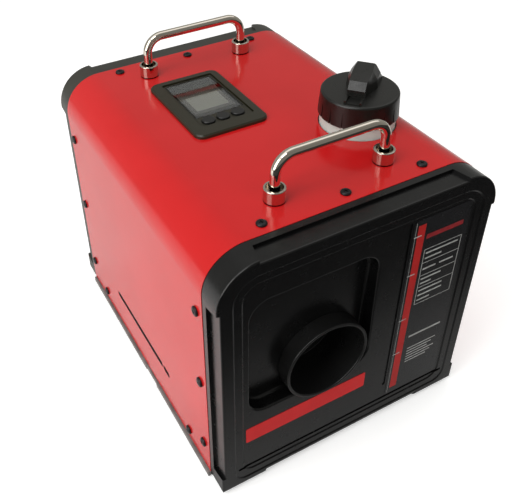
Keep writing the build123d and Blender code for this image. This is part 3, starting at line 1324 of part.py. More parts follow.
def pump_hose():
    """Hose from the filter up to the pump."""
    filter_z = TRAY_FLOOR_Z + FILTER_RADIUS
    return hose(
        [
            (FILTER_RIGHT_X - FILTER_LENGTH, FUEL_Y, filter_z),
            (PUMP_X, FUEL_Y, filter_z),
            (PUMP_X, FUEL_Y - 8, PUMP_Z),
            (PUMP_X, PUMP_FRONT_Y - PUMP_CAP_LENGTH, PUMP_Z),
        ],
        HOSE_BEND * 0.8,
    )


def heater_hose():
    """Hose from the pump up and over to the burner."""
    start = PUMP_FRONT_Y + PUMP_LENGTH + PUMP_CAP_LENGTH
    return hose(
        [
            (PUMP_X, start, PUMP_Z),
            (PUMP_X, NIPPLE_Y, PUMP_Z),
            (PUMP_X, NIPPLE_Y, NIPPLE_Z),
            (NIPPLE_TIP_X + BARB_LENGTH, NIPPLE_Y, NIPPLE_Z),
        ],
        HOSE_BEND,
    )


def fuel_pump():
    """Metering pump: a can between two threaded ends, with its plug on top."""
    back = PUMP_FRONT_Y + PUMP_LENGTH
    can = rod_y(PUMP_RADIUS, PUMP_X, PUMP_Z, PUMP_FRONT_Y, back)
    can = chamfer(can.edges().filter_by(GeomType.CIRCLE), BARB_RADIUS)
    ends = rod_y(PUMP_CAP_RADIUS, PUMP_X, PUMP_Z, PUMP_FRONT_Y - PUMP_CAP_LENGTH, back + PUMP_CAP_LENGTH)
    reach = PUMP_CAP_LENGTH + BARB_LENGTH
    barbs = rod_y(BARB_RADIUS, PUMP_X, PUMP_Z, PUMP_FRONT_Y - reach, back + reach)
    plug_top = PUMP_Z + PUMP_RADIUS + PUMP_PLUG_HEIGHT
    plug = block(PUMP_X - 6, PUMP_X + 6, back - 14, back - 4, PUMP_Z, plug_top)
    return can + ends + barbs + plug


def sleeve_sides():
    middle = PUMP_FRONT_Y + PUMP_LENGTH / 2 - 4
    return middle - SLEEVE_WIDTH / 2, middle + SLEEVE_WIDTH / 2


def pump_sleeve():
    """Rubber sleeve that keeps the pump's ticking off the tray."""
    front, back = sleeve_sides()
    return rod_y(PUMP_RADIUS + SLEEVE_THICKNESS, PUMP_X, PUMP_Z, front, back) - rod_y(
        PUMP_RADIUS, PUMP_X, PUMP_Z, front - 1, back + 1
    )


def pump_clamp():
    """Steel clamp round the sleeve, on a post and a foot."""
    front, back = sleeve_sides()
    sleeve = PUMP_RADIUS + SLEEVE_THICKNESS
    clamp = rod_y(sleeve + CLAMP_SHEET, PUMP_X, PUMP_Z, front, back)
    half = CLAMP_POST_WIDTH / 2
    clamp += block(PUMP_X - half, PUMP_X + half, front, front + 2 * CLAMP_SHEET, TRAY_FLOOR_Z, PUMP_Z)
    clamp += block(PUMP_X - half, PUMP_X + half, front, front + CLAMP_FOOT_LENGTH, TRAY_FLOOR_Z, TRAY_FLOOR_Z + CLAMP_SHEET)
    return clamp - rod_y(sleeve, PUMP_X, PUMP_Z, front - 1, back + 1)


def parts():
    """Every node by its name."""
    nodes = {
        "casing": casing(),
        "base_tray": base_tray(),
        "front_panel": front_panel(),
        "rear_panel": rear_panel(),
        "rear_grille": rear_grille(),
        "intake_duct": intake_duct(),
        "outlet_duct": outlet_duct(),
        "power_socket": power_socket(),
        "casing_screws_top": casing_screws_top(),
        "casing_screws_left": casing_screws_side(-1),
        "casing_screws_right": casing_screws_side(1),
        "handle_front": handle_bar(-1),
        "handle_rear": handle_bar(1),
        "handle_cups_front": handle_cups(-1),
        "handle_cups_rear": handle_cups(1),
        "handle_screws": handle_screws(),
        "controller_bezel": controller_bezel(),
        "controller_housing": controller_housing(),
        "controller_board": controller_board(),
        "display_panel": display_panel(),
        "display_window": display_window(),
        "fuel_tank": fuel_tank(),
        "tank_neck": tank_neck(),
        "fuel_cap": fuel_cap(),
        "cap_seal": cap_seal(),
        "tank_strap": tank_strap(),
        "tank_fitting": tank_fitting(),
        "tank_hose": tank_hose(),
        "fuel_filter": fuel_filter(),
        "pump_hose": pump_hose(),
        "fuel_pump": fuel_pump(),
        "pump_sleeve": pump_sleeve(),
        "pump_clamp": pump_clamp(),
        "heater_hose": heater_hose(),
        "jacket_lower": jacket_half(-1),
        "jacket_upper": jacket_half(1),
        "heat_exchanger": heat_exchanger(),
        "combustion_chamber": combustion_chamber(),
        "glow_plug": glow_plug(),
        "fan_housing": fan_housing(),
        "blower_motor": blower_motor(),
        "motor_bearings": motor_bearings(),
        "blower_shaft": blower_shaft(),
        "combustion_fan": combustion_fan(),
        "heating_fan": heating_fan(),
        "inlet_guard": inlet_guard(),
        "heater_board": heater_board(),
        "heater_gasket": heater_gasket(),
        "heater_brackets": heater_brackets(),
        "heater_studs": heater_studs(),
        "exhaust_pipe": port_pipe(EXHAUST_X, EXHAUST_PORT_Y),
        "air_pipe": port_pipe(AIR_PIPE_X, AIR_PORT_Y),
    }
    for name, (x, y) in zip(("button_left", "button_middle", "button_right"), button_places()):
        nodes[name] = button(x, y)
    return nodes


os.makedirs("parts", exist_ok=True)
for name, solid in parts().items():
    solid.label = name
    export_step(solid, os.path.join("parts", name + ".step"))
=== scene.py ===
from math import cos, pi, radians, sin

import bmesh
import bpy
from mathutils import Matrix, Vector


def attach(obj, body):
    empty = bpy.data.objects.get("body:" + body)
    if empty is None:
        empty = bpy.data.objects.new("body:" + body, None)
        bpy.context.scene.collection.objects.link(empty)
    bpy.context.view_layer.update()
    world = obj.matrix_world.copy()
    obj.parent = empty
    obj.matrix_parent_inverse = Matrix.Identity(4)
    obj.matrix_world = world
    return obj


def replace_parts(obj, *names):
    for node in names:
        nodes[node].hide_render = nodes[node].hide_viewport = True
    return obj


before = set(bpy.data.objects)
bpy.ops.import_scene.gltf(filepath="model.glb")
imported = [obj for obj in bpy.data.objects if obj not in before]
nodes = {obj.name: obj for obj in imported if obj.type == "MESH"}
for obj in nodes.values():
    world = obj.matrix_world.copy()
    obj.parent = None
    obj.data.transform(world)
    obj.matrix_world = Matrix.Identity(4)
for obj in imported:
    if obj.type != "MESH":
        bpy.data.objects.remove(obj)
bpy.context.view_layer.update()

# --- Camera: above and to the left of the front, about three quarters of a metre away. Its place
# and lens were solved from the edges of the box in the photograph.
CAMERA_PLACE = Vector((-0.27072, -0.45583, 0.56871))
CAMERA_TURN = radians(-27.334)
CAMERA_DROP = radians(37.105)
CAMERA_ROLL = radians(-1.688)
SENSOR_WIDTH = 36.0
FOCAL_LENGTH = 49.555
SHIFT_ACROSS = 0.0758
SHIFT_UP = -0.1066
backward = Vector(
    (
        sin(CAMERA_TURN) * cos(CAMERA_DROP),
        -cos(CAMERA_TURN) * cos(CAMERA_DROP),
        sin(CAMERA_DROP),
    )
)
level = Vector((0, 0, 1)).cross(backward).normalized()
upright = backward.cross(level)
rightward = cos(CAMERA_ROLL) * level + sin(CAMERA_ROLL) * upright
upward = cos(CAMERA_ROLL) * upright - sin(CAMERA_ROLL) * level
lens = bpy.data.cameras.new("camera")
lens.sensor_fit = "HORIZONTAL"
lens.sensor_width = SENSOR_WIDTH
lens.lens = FOCAL_LENGTH
lens.shift_x = SHIFT_ACROSS
lens.shift_y = SHIFT_UP
camera = bpy.data.objects.new("camera", lens)
turned = Matrix((rightward, upward, backward)).transposed().to_4x4()
camera.matrix_world = Matrix.Translation(CAMERA_PLACE) @ turned
bpy.context.scene.collection.objects.link(camera)
bpy.context.scene.camera = camera
bpy.context.scene.view_settings.view_transform = "Standard"

# --- Room: pale on all sides, and brighter behind the heater than in front of it. To the camera,
# and through glass, it is plain white.
ROOM_COLOUR = (1.0, 0.99, 0.93, 1.0)
ROOM_FRONT = 0.20
ROOM_BACK = 0.36
ROOM_FADE = 0.7
WHITE = (1.0, 1.0, 1.0, 1.0)


def coordinates(tree, kind="Object"):
    """X, Y and Z of a point on a piece; for the room, of the direction that is looked in."""
    place = tree.nodes.new("ShaderNodeTexCoord")
    split = tree.nodes.new("ShaderNodeSeparateXYZ")
    tree.links.new(place.outputs[kind], split.inputs[0])
    return split.outputs


def step(tree, operation, value, amount=0.0, reach=0.0):
    """One step of arithmetic on a number; the amount is a number or another socket."""
    math = tree.nodes.new("ShaderNodeMath")
    math.operation = operation
    tree.links.new(value, math.inputs[0])
    if isinstance(amount, float):
        math.inputs[1].default_value = amount
    else:
        tree.links.new(amount, math.inputs[1])
    math.inputs[2].default_value = reach
    return math.outputs[0]


def spread(tree, amount, start, end, low, high):
    """Turn a number that runs from start to end into one that runs from low to high."""
    span = tree.nodes.new("ShaderNodeMapRange")
    span.inputs["From Min"].default_value = start
    span.inputs["From Max"].default_value = end
    span.inputs["To Min"].default_value = low
    span.inputs["To Max"].default_value = high
    tree.links.new(amount, span.inputs["Value"])
    return span.outputs["Result"]


def seen_straight(tree):
    """1 for what the camera sees straight or through glass, and 0 for all other light."""
    path = tree.nodes.new("ShaderNodeLightPath")
    straight = path.outputs["Is Camera Ray"]
    return step(tree, "MAXIMUM", straight, path.outputs["Is Transmission Ray"])


def mix_shaders(tree, amount, first, second):
    """Go from one shader to another as an amount goes from 0 to 1."""
    mix = tree.nodes.new("ShaderNodeMixShader")
    tree.links.new(amount, mix.inputs["Fac"])
    tree.links.new(first.outputs[0], mix.inputs[1])
    tree.links.new(second.outputs[0], mix.inputs[2])
    return mix.outputs[0]


room = bpy.data.worlds.new("white_room")
bpy.context.scene.world = room
room.use_nodes = True
tree = room.node_tree
room_light = tree.nodes["Background"]
room_light.inputs["Color"].default_value = ROOM_COLOUR
room_depth = coordinates(tree, "Generated")["Y"]
room_strength = spread(tree, room_depth, -ROOM_FADE, ROOM_FADE, ROOM_FRONT, ROOM_BACK)
tree.links.new(room_strength, room_light.inputs["Strength"])
room_white = tree.nodes.new("ShaderNodeBackground")
room_white.inputs["Color"].default_value = WHITE
room_white.inputs["Strength"].default_value = 1.0
room_look = mix_shaders(tree, seen_straight(tree), room_light, room_white)
tree.links.new(room_look, tree.nodes["World Output"].inputs["Surface"])

# --- Floor: the white board that the heater stands on. In gloss it shows darker in front of the
# heater, and to the camera and through glass it glows a little, so that it reads as white.
FLOOR_SIZE = 6.0
GLOSS_GREY = (0.05, 0.05, 0.05, 1.0)
GLOSS_START = -0.05
GLOSS_END = -0.30
FLOOR_GLOW = 0.45
SMOOTH_ANGLE = radians(35)


def plain_finish(name, colour, roughness, metallic=0.0):
    """New material, with its shader and its node tree."""
    material = bpy.data.materials.new(name)
    material.use_nodes = True
    shader = material.node_tree.nodes["Principled BSDF"]
    shader.inputs["Base Color"].default_value = (*colour, 1.0)
    shader.inputs["Roughness"].default_value = roughness
    shader.inputs["Metallic"].default_value = metallic
    return material, shader, material.node_tree


def as_object(shape, name, material):
    """Object at the origin from a finished shape, shaded smooth over its blunt edges."""
    mesh = bpy.data.meshes.new(name)
    shape.to_mesh(mesh)
    shape.free()
    mesh.polygons.foreach_set("use_smooth", [True] * len(mesh.polygons))
    mesh.set_sharp_from_angle(angle=SMOOTH_ANGLE)
    mesh.materials.append(material)
    piece = bpy.data.objects.new(name, mesh)
    bpy.context.scene.collection.objects.link(piece)
    return piece


floor_white, shader, tree = plain_finish("floor_white", (0.93, 0.93, 0.93), 0.8)
floor_dark = tree.nodes.new("ShaderNodeBsdfDiffuse")
floor_dark.inputs["Color"].default_value = GLOSS_GREY
in_front = spread(tree, coordinates(tree)["Y"], GLOSS_START, GLOSS_END, 0.0, 1.0)
glossy = tree.nodes.new("ShaderNodeLightPath").outputs["Is Glossy Ray"]
floor_look = mix_shaders(tree, step(tree, "MULTIPLY", glossy, in_front), shader, floor_dark)
floor_glow = tree.nodes.new("ShaderNodeEmission")
floor_glow.inputs["Color"].default_value = WHITE
glow_strength = spread(tree, seen_straight(tree), 0.0, 1.0, 0.0, FLOOR_GLOW)
tree.links.new(glow_strength, floor_glow.inputs["Strength"])
floor_sum = tree.nodes.new("ShaderNodeAddShader")
tree.links.new(floor_look, floor_sum.inputs[0])
tree.links.new(floor_glow.outputs[0], floor_sum.inputs[1])
tree.links.new(floor_sum.outputs[0], tree.nodes["Material Output"].inputs["Surface"])
floor_shape = bmesh.new()
bmesh.ops.create_grid(floor_shape, x_segments=4, y_segments=4, size=FLOOR_SIZE)
floor = as_object(floor_shape, "floor", floor_white)


# --- Lamps: a broad soft window on the left, a wide ceiling lamp, a skylight over the front left
# corner, and a weak fill from the front that shows in no gloss.
def soft_lamp(name, place, target, size, power, colour=(1.0, 1.0, 1.0)):
    """Rectangular lamp turned to a point."""
    lamp = bpy.data.lights.new(name, "AREA")
    lamp.shape = "RECTANGLE"
    lamp.size, lamp.size_y = size
    lamp.energy = power
    lamp.color = colour
    holder = bpy.data.objects.new(name, lamp)
    holder.location = place
    holder.rotation_euler = (Vector(target) - Vector(place)).to_track_quat("-Z", "Y").to_euler()
    bpy.context.scene.collection.objects.link(holder)
    return holder


soft_lamp(
    "window_left", place=(-1.7, -0.3, 0.9), target=(0, 0, 0.15), size=(1.2, 1.6), power=19,
    colour=(1.0, 0.99, 0.97),
)
soft_lamp("ceiling", place=(0.2, 0.42, 2.0), target=(0.2, 0.42, 0), size=(5.0, 1.2), power=15)
soft_lamp("skylight", place=(-0.9, -0.45, 2.0), target=(-0.9, -0.45, 0), size=(1.0, 1.0), power=12)
fill = soft_lamp(
    "front_fill", place=(0.4, -2.0, 1.0), target=(0, -0.1, 0.15), size=(1.4, 1.0), power=9,
)
fill.visible_glossy = False


# --- Base tray: black painted sheet steel, folded up on its sides. The heater and the tank stand
# on it, and it is screwed inside the casing, so that only a strip of its walls shows.
GRAIN_ENDS = (0.3, 0.7)


def grain(tree, scale, detail=3.0):
    """Noise on the object's own coordinates; the scale is in grains per metre."""
    place = tree.nodes.new("ShaderNodeTexCoord")
    noise = tree.nodes.new("ShaderNodeTexNoise")
    noise.inputs["Scale"].default_value = scale
    noise.inputs["Detail"].default_value = detail
    tree.links.new(place.outputs["Object"], noise.inputs["Vector"])
    return noise.outputs["Fac"]


def vary_roughness(tree, shader, amount, smoothest, roughest):
    """Let a grain move the roughness between two values."""
    sheen = spread(tree, amount, *GRAIN_ENDS, smoothest, roughest)
    tree.links.new(sheen, shader.inputs["Roughness"])
    return sheen


def raise_grain(tree, shader, amount, strength, height):
    """Turn a grain into fine bumps of a height in metres."""
    bump = tree.nodes.new("ShaderNodeBump")
    bump.inputs["Strength"].default_value = strength
    bump.inputs["Distance"].default_value = height
    tree.links.new(amount, bump.inputs["Height"])
    tree.links.new(bump.outputs["Normal"], shader.inputs["Normal"])


def dress(material, *names):
    """Give a material to solids of the frame."""
    for name in names:
        for slot in nodes[name].material_slots:
            slot.link = "OBJECT"
            slot.material = material


tray_paint, shader, tree = plain_finish("tray_paint", (0.045, 0.047, 0.05), 0.4)
vary_roughness(tree, shader, grain(tree, 45.0), 0.34, 0.5)
raise_grain(tree, shader, grain(tree, 700.0, 2.0), 0.2, 0.0002)
dress(tray_paint, "base_tray")

# --- Tray hems: the tray's lower edge, turned out a little along both sides, and less so over a
# short run near the middle. Its pale grey is a painted reflection of the white floor in the black
# edge.
HEM_LOW = 0.0011
HEM_TOP = 0.0068
HEM_INSIDE = 0.1246
HEM_ROUND = 0.0007
HEM_RUNS = ((-0.1396, -0.03, 0.1271), (-0.03, -0.006, 0.1263), (-0.006, 0.1396, 0.1271))
HEM_SEGMENTS = 4
SHADE_ENDS = (0.35, 0.65)


def vary_colour(tree, shader, amount, *shades):
    """Blend the base colour between two shades by a grain."""
    ramp = tree.nodes.new("ShaderNodeValToRGB")
    for stop, end, shade in zip(list(ramp.color_ramp.elements), SHADE_ENDS, shades):
        stop.position = end
        stop.color = (*shade, 1.0)
    tree.links.new(amount, ramp.inputs["Fac"])
    tree.links.new(ramp.outputs["Color"], shader.inputs["Base Color"])
    return ramp.outputs["Color"]


def add_block(shape, size, middle):
    """Add a block to a shape."""
    verts = bmesh.ops.create_cube(shape, size=1.0)["verts"]
    bmesh.ops.scale(shape, vec=size, verts=verts)
    bmesh.ops.translate(shape, vec=middle, verts=verts)
    return verts


def round_edges(shape, edges, radius, segments):
    """Round some edges of a shape."""
    bmesh.ops.bevel(
        shape, geom=edges, offset=radius, offset_type="OFFSET", segments=segments, profile=0.5,
        affect="EDGES", material=-1,
    )


# Painted reflection: the pale grey stands for the white floor seen in the black hem at a grazing
# angle.
hem_painted_reflection, shader, tree = plain_finish("hem_painted_reflection", (0.17, 0.16, 0.155), 0.45)
vary_colour(tree, shader, grain(tree, 90.0), (0.13, 0.12, 0.115), (0.21, 0.20, 0.195))
vary_roughness(tree, shader, grain(tree, 200.0), 0.38, 0.52)
for side, name in ((-1, "tray_hem_left"), (1, "tray_hem_right")):
    hem_shape = bmesh.new()
    for front, back, outside in HEM_RUNS:
        size = (outside - HEM_INSIDE, back - front, HEM_TOP - HEM_LOW)
        half_way = (outside + HEM_INSIDE) / 2
        middle = (side * half_way, (front + back) / 2, (HEM_TOP + HEM_LOW) / 2)
        verts = add_block(hem_shape, size, middle)
        outer = {vert for vert in verts if side * vert.co.x > half_way}
        edges = {edge for vert in outer for edge in vert.link_edges}
        rims = [edge for edge in edges if all(vert in outer for vert in edge.verts)]
        round_edges(hem_shape, rims, HEM_ROUND, HEM_SEGMENTS)
    hem = as_object(hem_shape, name, hem_painted_reflection)
    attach(hem, "heater")

# --- Front panel: a black housing moulded in hard plastic, with a fine, slightly glossy skin. Its
# lower corners are the feet, and screws through the sheet hold it.
panel_plastic, shader, tree = plain_finish("panel_plastic", (0.003, 0.003, 0.0031), 0.25)
vary_colour(tree, shader, grain(tree, 25.0), (0.0026, 0.0026, 0.0027), (0.0034, 0.0034, 0.0035))
vary_roughness(tree, shader, grain(tree, 110.0), 0.22, 0.28)
raise_grain(tree, shader, grain(tree, 1500.0, 2.0), 0.05, 0.0001)
dress(panel_plastic, "front_panel")

# --- Rear panel and its air grille: the same kind of moulding and held in the same way, but duller,
# and lighter and greyer in colour as a painted sheen of the room light caught along its rim.
# Painted sheen: the raised grey base colour stands for light reflected along the rear rim.
rear_plastic_painted_sheen, shader, tree = plain_finish("rear_plastic_painted_sheen", (0.034, 0.034, 0.028), 0.42)
vary_colour(tree, shader, grain(tree, 25.0), (0.030, 0.030, 0.025), (0.038, 0.038, 0.031))
vary_roughness(tree, shader, grain(tree, 110.0), 0.38, 0.47)
raise_grain(tree, shader, grain(tree, 1500.0, 2.0), 0.05, 0.0001)
dress(rear_plastic_painted_sheen, "rear_panel", "rear_grille")

# --- Ducts and power socket: plain black mouldings, a little duller than the front panel. The
# ducts carry the air from the grille to the heater and from the heater to the front.
duct_plastic, shader, tree = plain_finish("duct_plastic", (0.008, 0.008, 0.008), 0.3)
vary_roughness(tree, shader, grain(tree, 80.0), 0.26, 0.34)
raise_grain(tree, shader, grain(tree, 1300.0, 2.0), 0.25, 0.00015)
dress(duct_plastic, "outlet_duct", "intake_duct", "power_socket")

# --- Heater castings: the finned heat exchanger and the fan housing, both cast aluminium with the
# rough skin of the mould.
cast_metal, shader, tree = plain_finish("cast_metal", (0.50, 0.51, 0.52), 0.5, 1.0)
raise_grain(tree, shader, grain(tree, 900.0, 2.0), 0.5, 0.0003)
dress(cast_metal, "heat_exchanger", "fan_housing")

# --- Hot and turning steel: flame tube, glow plug and exhaust pipe, which the heat has stained,
# and the blower's shaft in its two bearings.
raw_steel, shader, tree = plain_finish("raw_steel", (0.42, 0.40, 0.38), 0.4, 1.0)
vary_colour(tree, shader, grain(tree, 70.0), (0.36, 0.34, 0.32), (0.48, 0.46, 0.45))
dress(raw_steel, "exhaust_pipe", "combustion_chamber", "glow_plug")
dress(raw_steel, "motor_bearings", "blower_shaft")

# --- Heater shell: the jacket's two halves, both fan wheels, the inlet guard and the control unit
# on the motor, moulded in a plain black plastic that stands the heat.
inner_plastic, shader, tree = plain_finish("inner_plastic", (0.02, 0.02, 0.02), 0.45)
raise_grain(tree, shader, grain(tree, 1100.0, 2.0), 0.3, 0.0002)
dress(inner_plastic, "jacket_lower", "jacket_upper", "combustion_fan", "heating_fan")
dress(inner_plastic, "inlet_guard", "heater_board")

# --- Plated steel: brackets, studs, strap, clamp and screws that hold things down, with the cans
# of pump and motor and the air pipe, all zinc plated.
zinc_steel, shader, tree = plain_finish("zinc_steel", (0.55, 0.57, 0.6), 0.34, 1.0)
vary_roughness(tree, shader, grain(tree, 150.0), 0.25, 0.45)
dress(zinc_steel, "tank_strap", "fuel_pump", "pump_clamp", "heater_brackets", "heater_studs")
dress(zinc_steel, "handle_screws", "blower_motor", "air_pipe")

# --- Seals and hoses: soft black rubber, for the fuel line from tank to heater, the pump's sleeve,
# the cap's seal ring and the gasket under the heater.
soft_black, shader, tree = plain_finish("soft_black", (0.02, 0.02, 0.02), 0.6)
vary_roughness(tree, shader, grain(tree, 260.0), 0.5, 0.7)
dress(soft_black, "cap_seal", "tank_hose", "pump_hose", "heater_hose", "pump_sleeve")
dress(soft_black, "heater_gasket")

# --- Tank fitting and fuel filter: a turned brass nipple low in the tank's wall, and a filter
# moulded in pale plastic that lies in the line on the tray.
brass, shader, tree = plain_finish("brass", (0.70, 0.50, 0.20), 0.3, 1.0)
vary_roughness(tree, shader, grain(tree, 200.0), 0.22, 0.38)
dress(brass, "tank_fitting")

filter_clear, shader, tree = plain_finish("filter_clear", (0.75, 0.76, 0.70), 0.2)
vary_colour(tree, shader, grain(tree, 120.0), (0.70, 0.70, 0.62), (0.80, 0.80, 0.76))
dress(filter_clear, "fuel_filter")

# --- Fuel tank: blown in milky white plastic and strapped to the tray. Its neck comes up through
# the sheet and shows as a white collar under the cap.
tank_white, shader, tree = plain_finish("tank_white", (0.56, 0.68, 0.64), 0.35)
shader.inputs["Subsurface Weight"].default_value = 0.2
shader.inputs["Subsurface Radius"].default_value = (0.003, 0.003, 0.003)
vary_colour(tree, shader, grain(tree, 30.0), (0.54, 0.66, 0.62), (0.58, 0.70, 0.66))
dress(tank_white, "fuel_tank", "tank_neck")

# --- Casing: one sheet of steel bent over the top and both sides, powder coated in glossy red.
# The coat has a faint orange peel and is a little uneven in colour, and the lips of the two slots
# low on the left side are dull and carry painted shade, standing for the shadow inside the slots.
SHEET_SIDE = 0.125
SHEET_TOP = 0.254
SLOT_PAINTED_SHADE = (0.03, 0.0005, 0.001)
SLOT_DULL = 0.95
SLOT_HEIGHT = 0.051
SLOT_LIP = 0.0034
SLOT_DEPTH = 0.003
SLOT_RUNS = ((0.005, 0.0508), (-0.057, 0.0033))
COLOUR_INPUTS = (6, 7)
COLOUR_OUTPUT = 2


def blend_colour(tree, shader, amount, *colours):
    """Let the base colour go from one colour to another; each is a colour or a socket."""
    mix = tree.nodes.new("ShaderNodeMix")
    mix.data_type = "RGBA"
    tree.links.new(amount, mix.inputs["Factor"])
    for number, colour in zip(COLOUR_INPUTS, colours):
        if isinstance(colour, tuple):
            mix.inputs[number].default_value = (*colour, 1.0)
        else:
            tree.links.new(colour, mix.inputs[number])
    tree.links.new(mix.outputs[COLOUR_OUTPUT], shader.inputs["Base Color"])


red_coat, shader, tree = plain_finish("red_powder_coat", (0.61, 0.010, 0.012), 0.2)
shader.inputs["Specular IOR Level"].default_value = 0.55
coat_red = vary_colour(
    tree, shader, grain(tree, 9.0), (0.58, 0.009, 0.010), (0.64, 0.012, 0.014)
)
coat_sheen = vary_roughness(tree, shader, grain(tree, 60.0), 0.14, 0.20)
raise_grain(tree, shader, grain(tree, 420.0, 1.0), 0.06, 0.0002)
sheet_place = coordinates(tree)
rise = step(tree, "SUBTRACT", sheet_place["Z"], SLOT_HEIGHT)
rise = step(tree, "POWER", step(tree, "ABSOLUTE", rise), 2.0)
slot_areas = []
for middle, half_length in SLOT_RUNS:
    along = step(tree, "SUBTRACT", sheet_place["Y"], middle)
    along = step(tree, "SUBTRACT", step(tree, "ABSOLUTE", along), half_length)
    along = step(tree, "POWER", step(tree, "MAXIMUM", along, 0.0), 2.0)
    away = step(tree, "ADD", along, rise)
    slot_areas.append(step(tree, "LESS_THAN", away, SLOT_LIP ** 2))
# Painted shade: the lips of the slots on the left side are darkened to stand for the shadow in
# them.
left_side = step(tree, "COMPARE", sheet_place["X"], -SHEET_SIDE, SLOT_DEPTH)
slot_lip_shade = step(tree, "MULTIPLY", left_side, step(tree, "ADD", *slot_areas))
blend_colour(tree, shader, slot_lip_shade, coat_red, SLOT_PAINTED_SHADE)
slot_sheen = tree.nodes.new("ShaderNodeMix")
slot_sheen.inputs["B"].default_value = SLOT_DULL
tree.links.new(slot_lip_shade, slot_sheen.inputs["Factor"])
tree.links.new(coat_sheen, slot_sheen.inputs["A"])
tree.links.new(slot_sheen.outputs["Result"], shader.inputs["Roughness"])
dress(red_coat, "casing")

# --- Screws: M4 pan heads in blackened steel with a cross recess, turned in by hand, so that no
# two crosses stand alike. They stand for the plain ones of the frame.
SCREW_HEAD = 0.0042
SCREW_CROWN = 0.0022
SCREW_CORE = 0.002
SCREW_REACH = 0.0055
SCREW_TIP = 0.0006
SCREW_SIDES = 28
SCREW_TURN = 2.4
WELD = 1e-6
CROSS_ARM = 0.0022
CROSS_HALF = 0.00045
CROSS_DEPTH = 0.0013
CROSS_CLEAR = 0.0004
CROSS_TAPER = 0.5
SCREW_ROWS = (-0.130, 0.130)
TOP_COLUMNS = (-0.0712, 0, 0.0712)
SIDE_HEIGHTS = (0.0385, 0.1173, 0.1961)
LOW_SCREWS = [(-0.1, 0.018), (0.1, 0.018)]


def turned_shape(profile, steps):
    """Shape of an outline of (radius, height) pairs, spun round Z."""
    shape = bmesh.new()
    corners = [shape.verts.new((radius, 0, height)) for radius, height in profile]
    for start, end in zip(corners, corners[1:]):
        shape.edges.new((start, end))
    bmesh.ops.spin(
        shape, geom=shape.verts[:] + shape.edges[:], cent=(0, 0, 0), axis=(0, 0, 1),
        angle=2 * pi, steps=steps, use_merge=True,
    )
    bmesh.ops.remove_doubles(shape, verts=shape.verts, dist=WELD)
    bmesh.ops.recalc_face_normals(shape, faces=shape.faces)
    return shape


def cut_by(piece, cutter):
    """Take the cutter's space out of a piece, and put the cutter away."""
    cut = piece.modifiers.new("cut", "BOOLEAN")
    cut.operation = "DIFFERENCE"
    cut.solver = "EXACT"
    cut.object = cutter
    bpy.context.view_layer.update()
    result = piece.evaluated_get(bpy.context.evaluated_depsgraph_get())
    cut_mesh = bpy.data.meshes.new_from_object(result)
    piece.modifiers.clear()
    piece.data = cut_mesh
    bpy.data.objects.remove(cutter)


def screw_set(name, places):
    """One piece of several screws; a place is a point on the sheet and the way the head faces."""
    group = bmesh.new()
    for number, (place, facing) in enumerate(places):
        turned_screw = screw.data.copy()
        turn = Matrix.Rotation(number * SCREW_TURN, 4, "Z")
        aim = Vector(facing).to_track_quat("Z", "Y").to_matrix().to_4x4()
        turned_screw.transform(Matrix.Translation(place) @ aim @ turn)
        group.from_mesh(turned_screw)
        bpy.data.meshes.remove(turned_screw)
    piece = as_object(group, name, screw_black)
    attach(piece, "heater")
    return piece


screw_black, shader, tree = plain_finish("screw_black", (0.02, 0.02, 0.022), 0.32, 0.6)
vary_roughness(tree, shader, grain(tree, 900.0), 0.26, 0.42)
screw_shape = turned_shape(
    [
        (0, -SCREW_REACH),
        (SCREW_CORE * 0.75, -SCREW_REACH),
        (SCREW_CORE, -SCREW_REACH + SCREW_TIP),
        (SCREW_CORE, 0),
        (SCREW_HEAD * 0.96, 0),
        (SCREW_HEAD, SCREW_CROWN * 0.12),
        (SCREW_HEAD, SCREW_CROWN * 0.42),
        (SCREW_HEAD * 0.94, SCREW_CROWN * 0.68),
        (SCREW_HEAD * 0.78, SCREW_CROWN * 0.88),
        (SCREW_HEAD * 0.5, SCREW_CROWN * 0.97),
        (0, SCREW_CROWN),
    ],
    SCREW_SIDES,
)
screw = as_object(screw_shape, "screw_master", screw_black)
cross = bmesh.new()
core_size = (2 * CROSS_HALF, 2 * CROSS_HALF, CROSS_DEPTH + CROSS_CLEAR)
core_height = SCREW_CROWN + (CROSS_CLEAR - CROSS_DEPTH) / 2
add_block(cross, core_size, (0, 0, core_height))
cross.normal_update()
for wall in [face for face in cross.faces if abs(face.normal.z) < 0.5]:
    outward = wall.normal * (CROSS_ARM - CROSS_HALF)
    arm = bmesh.ops.extrude_discrete_faces(cross, faces=[wall])["faces"]
    bmesh.ops.translate(cross, vec=outward, verts=arm[0].verts[:])
foot = [vert for vert in cross.verts if vert.co.z < core_height]
bmesh.ops.scale(cross, vec=(CROSS_TAPER, CROSS_TAPER, 1.0), verts=foot)
bmesh.ops.recalc_face_normals(cross, faces=cross.faces)
cut_by(screw, as_object(cross, "screw_cross", screw_black))

top_places = [((x, y, SHEET_TOP), (0, 0, 1)) for x in TOP_COLUMNS for y in SCREW_ROWS]
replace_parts(screw_set("screws_top", top_places), "casing_screws_top")
side_rows = [(y, z) for y in SCREW_ROWS for z in SIDE_HEIGHTS] + LOW_SCREWS
for side_name, side in (("left", -1), ("right", 1)):
    side_places = [((side * SHEET_SIDE, y, z), (side, 0, 0)) for y, z in side_rows]
    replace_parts(screw_set("screws_" + side_name, side_places), "casing_screws_" + side_name)
bpy.data.objects.remove(screw)

# --- Handles: two bent steel bars in turned cups, chrome plated, and screwed from below. The cups
# are a little duller, their chrome darkened as painted shade, and painted contact shade darkens
# them where they stand on the paint.
CUP_SHADED_CHROME = (0.64, 0.58, 0.51)
CUP_PAINTED_SHADE = (0.05, 0.03, 0.03)
CUP_SHADE_TOP = 0.2551
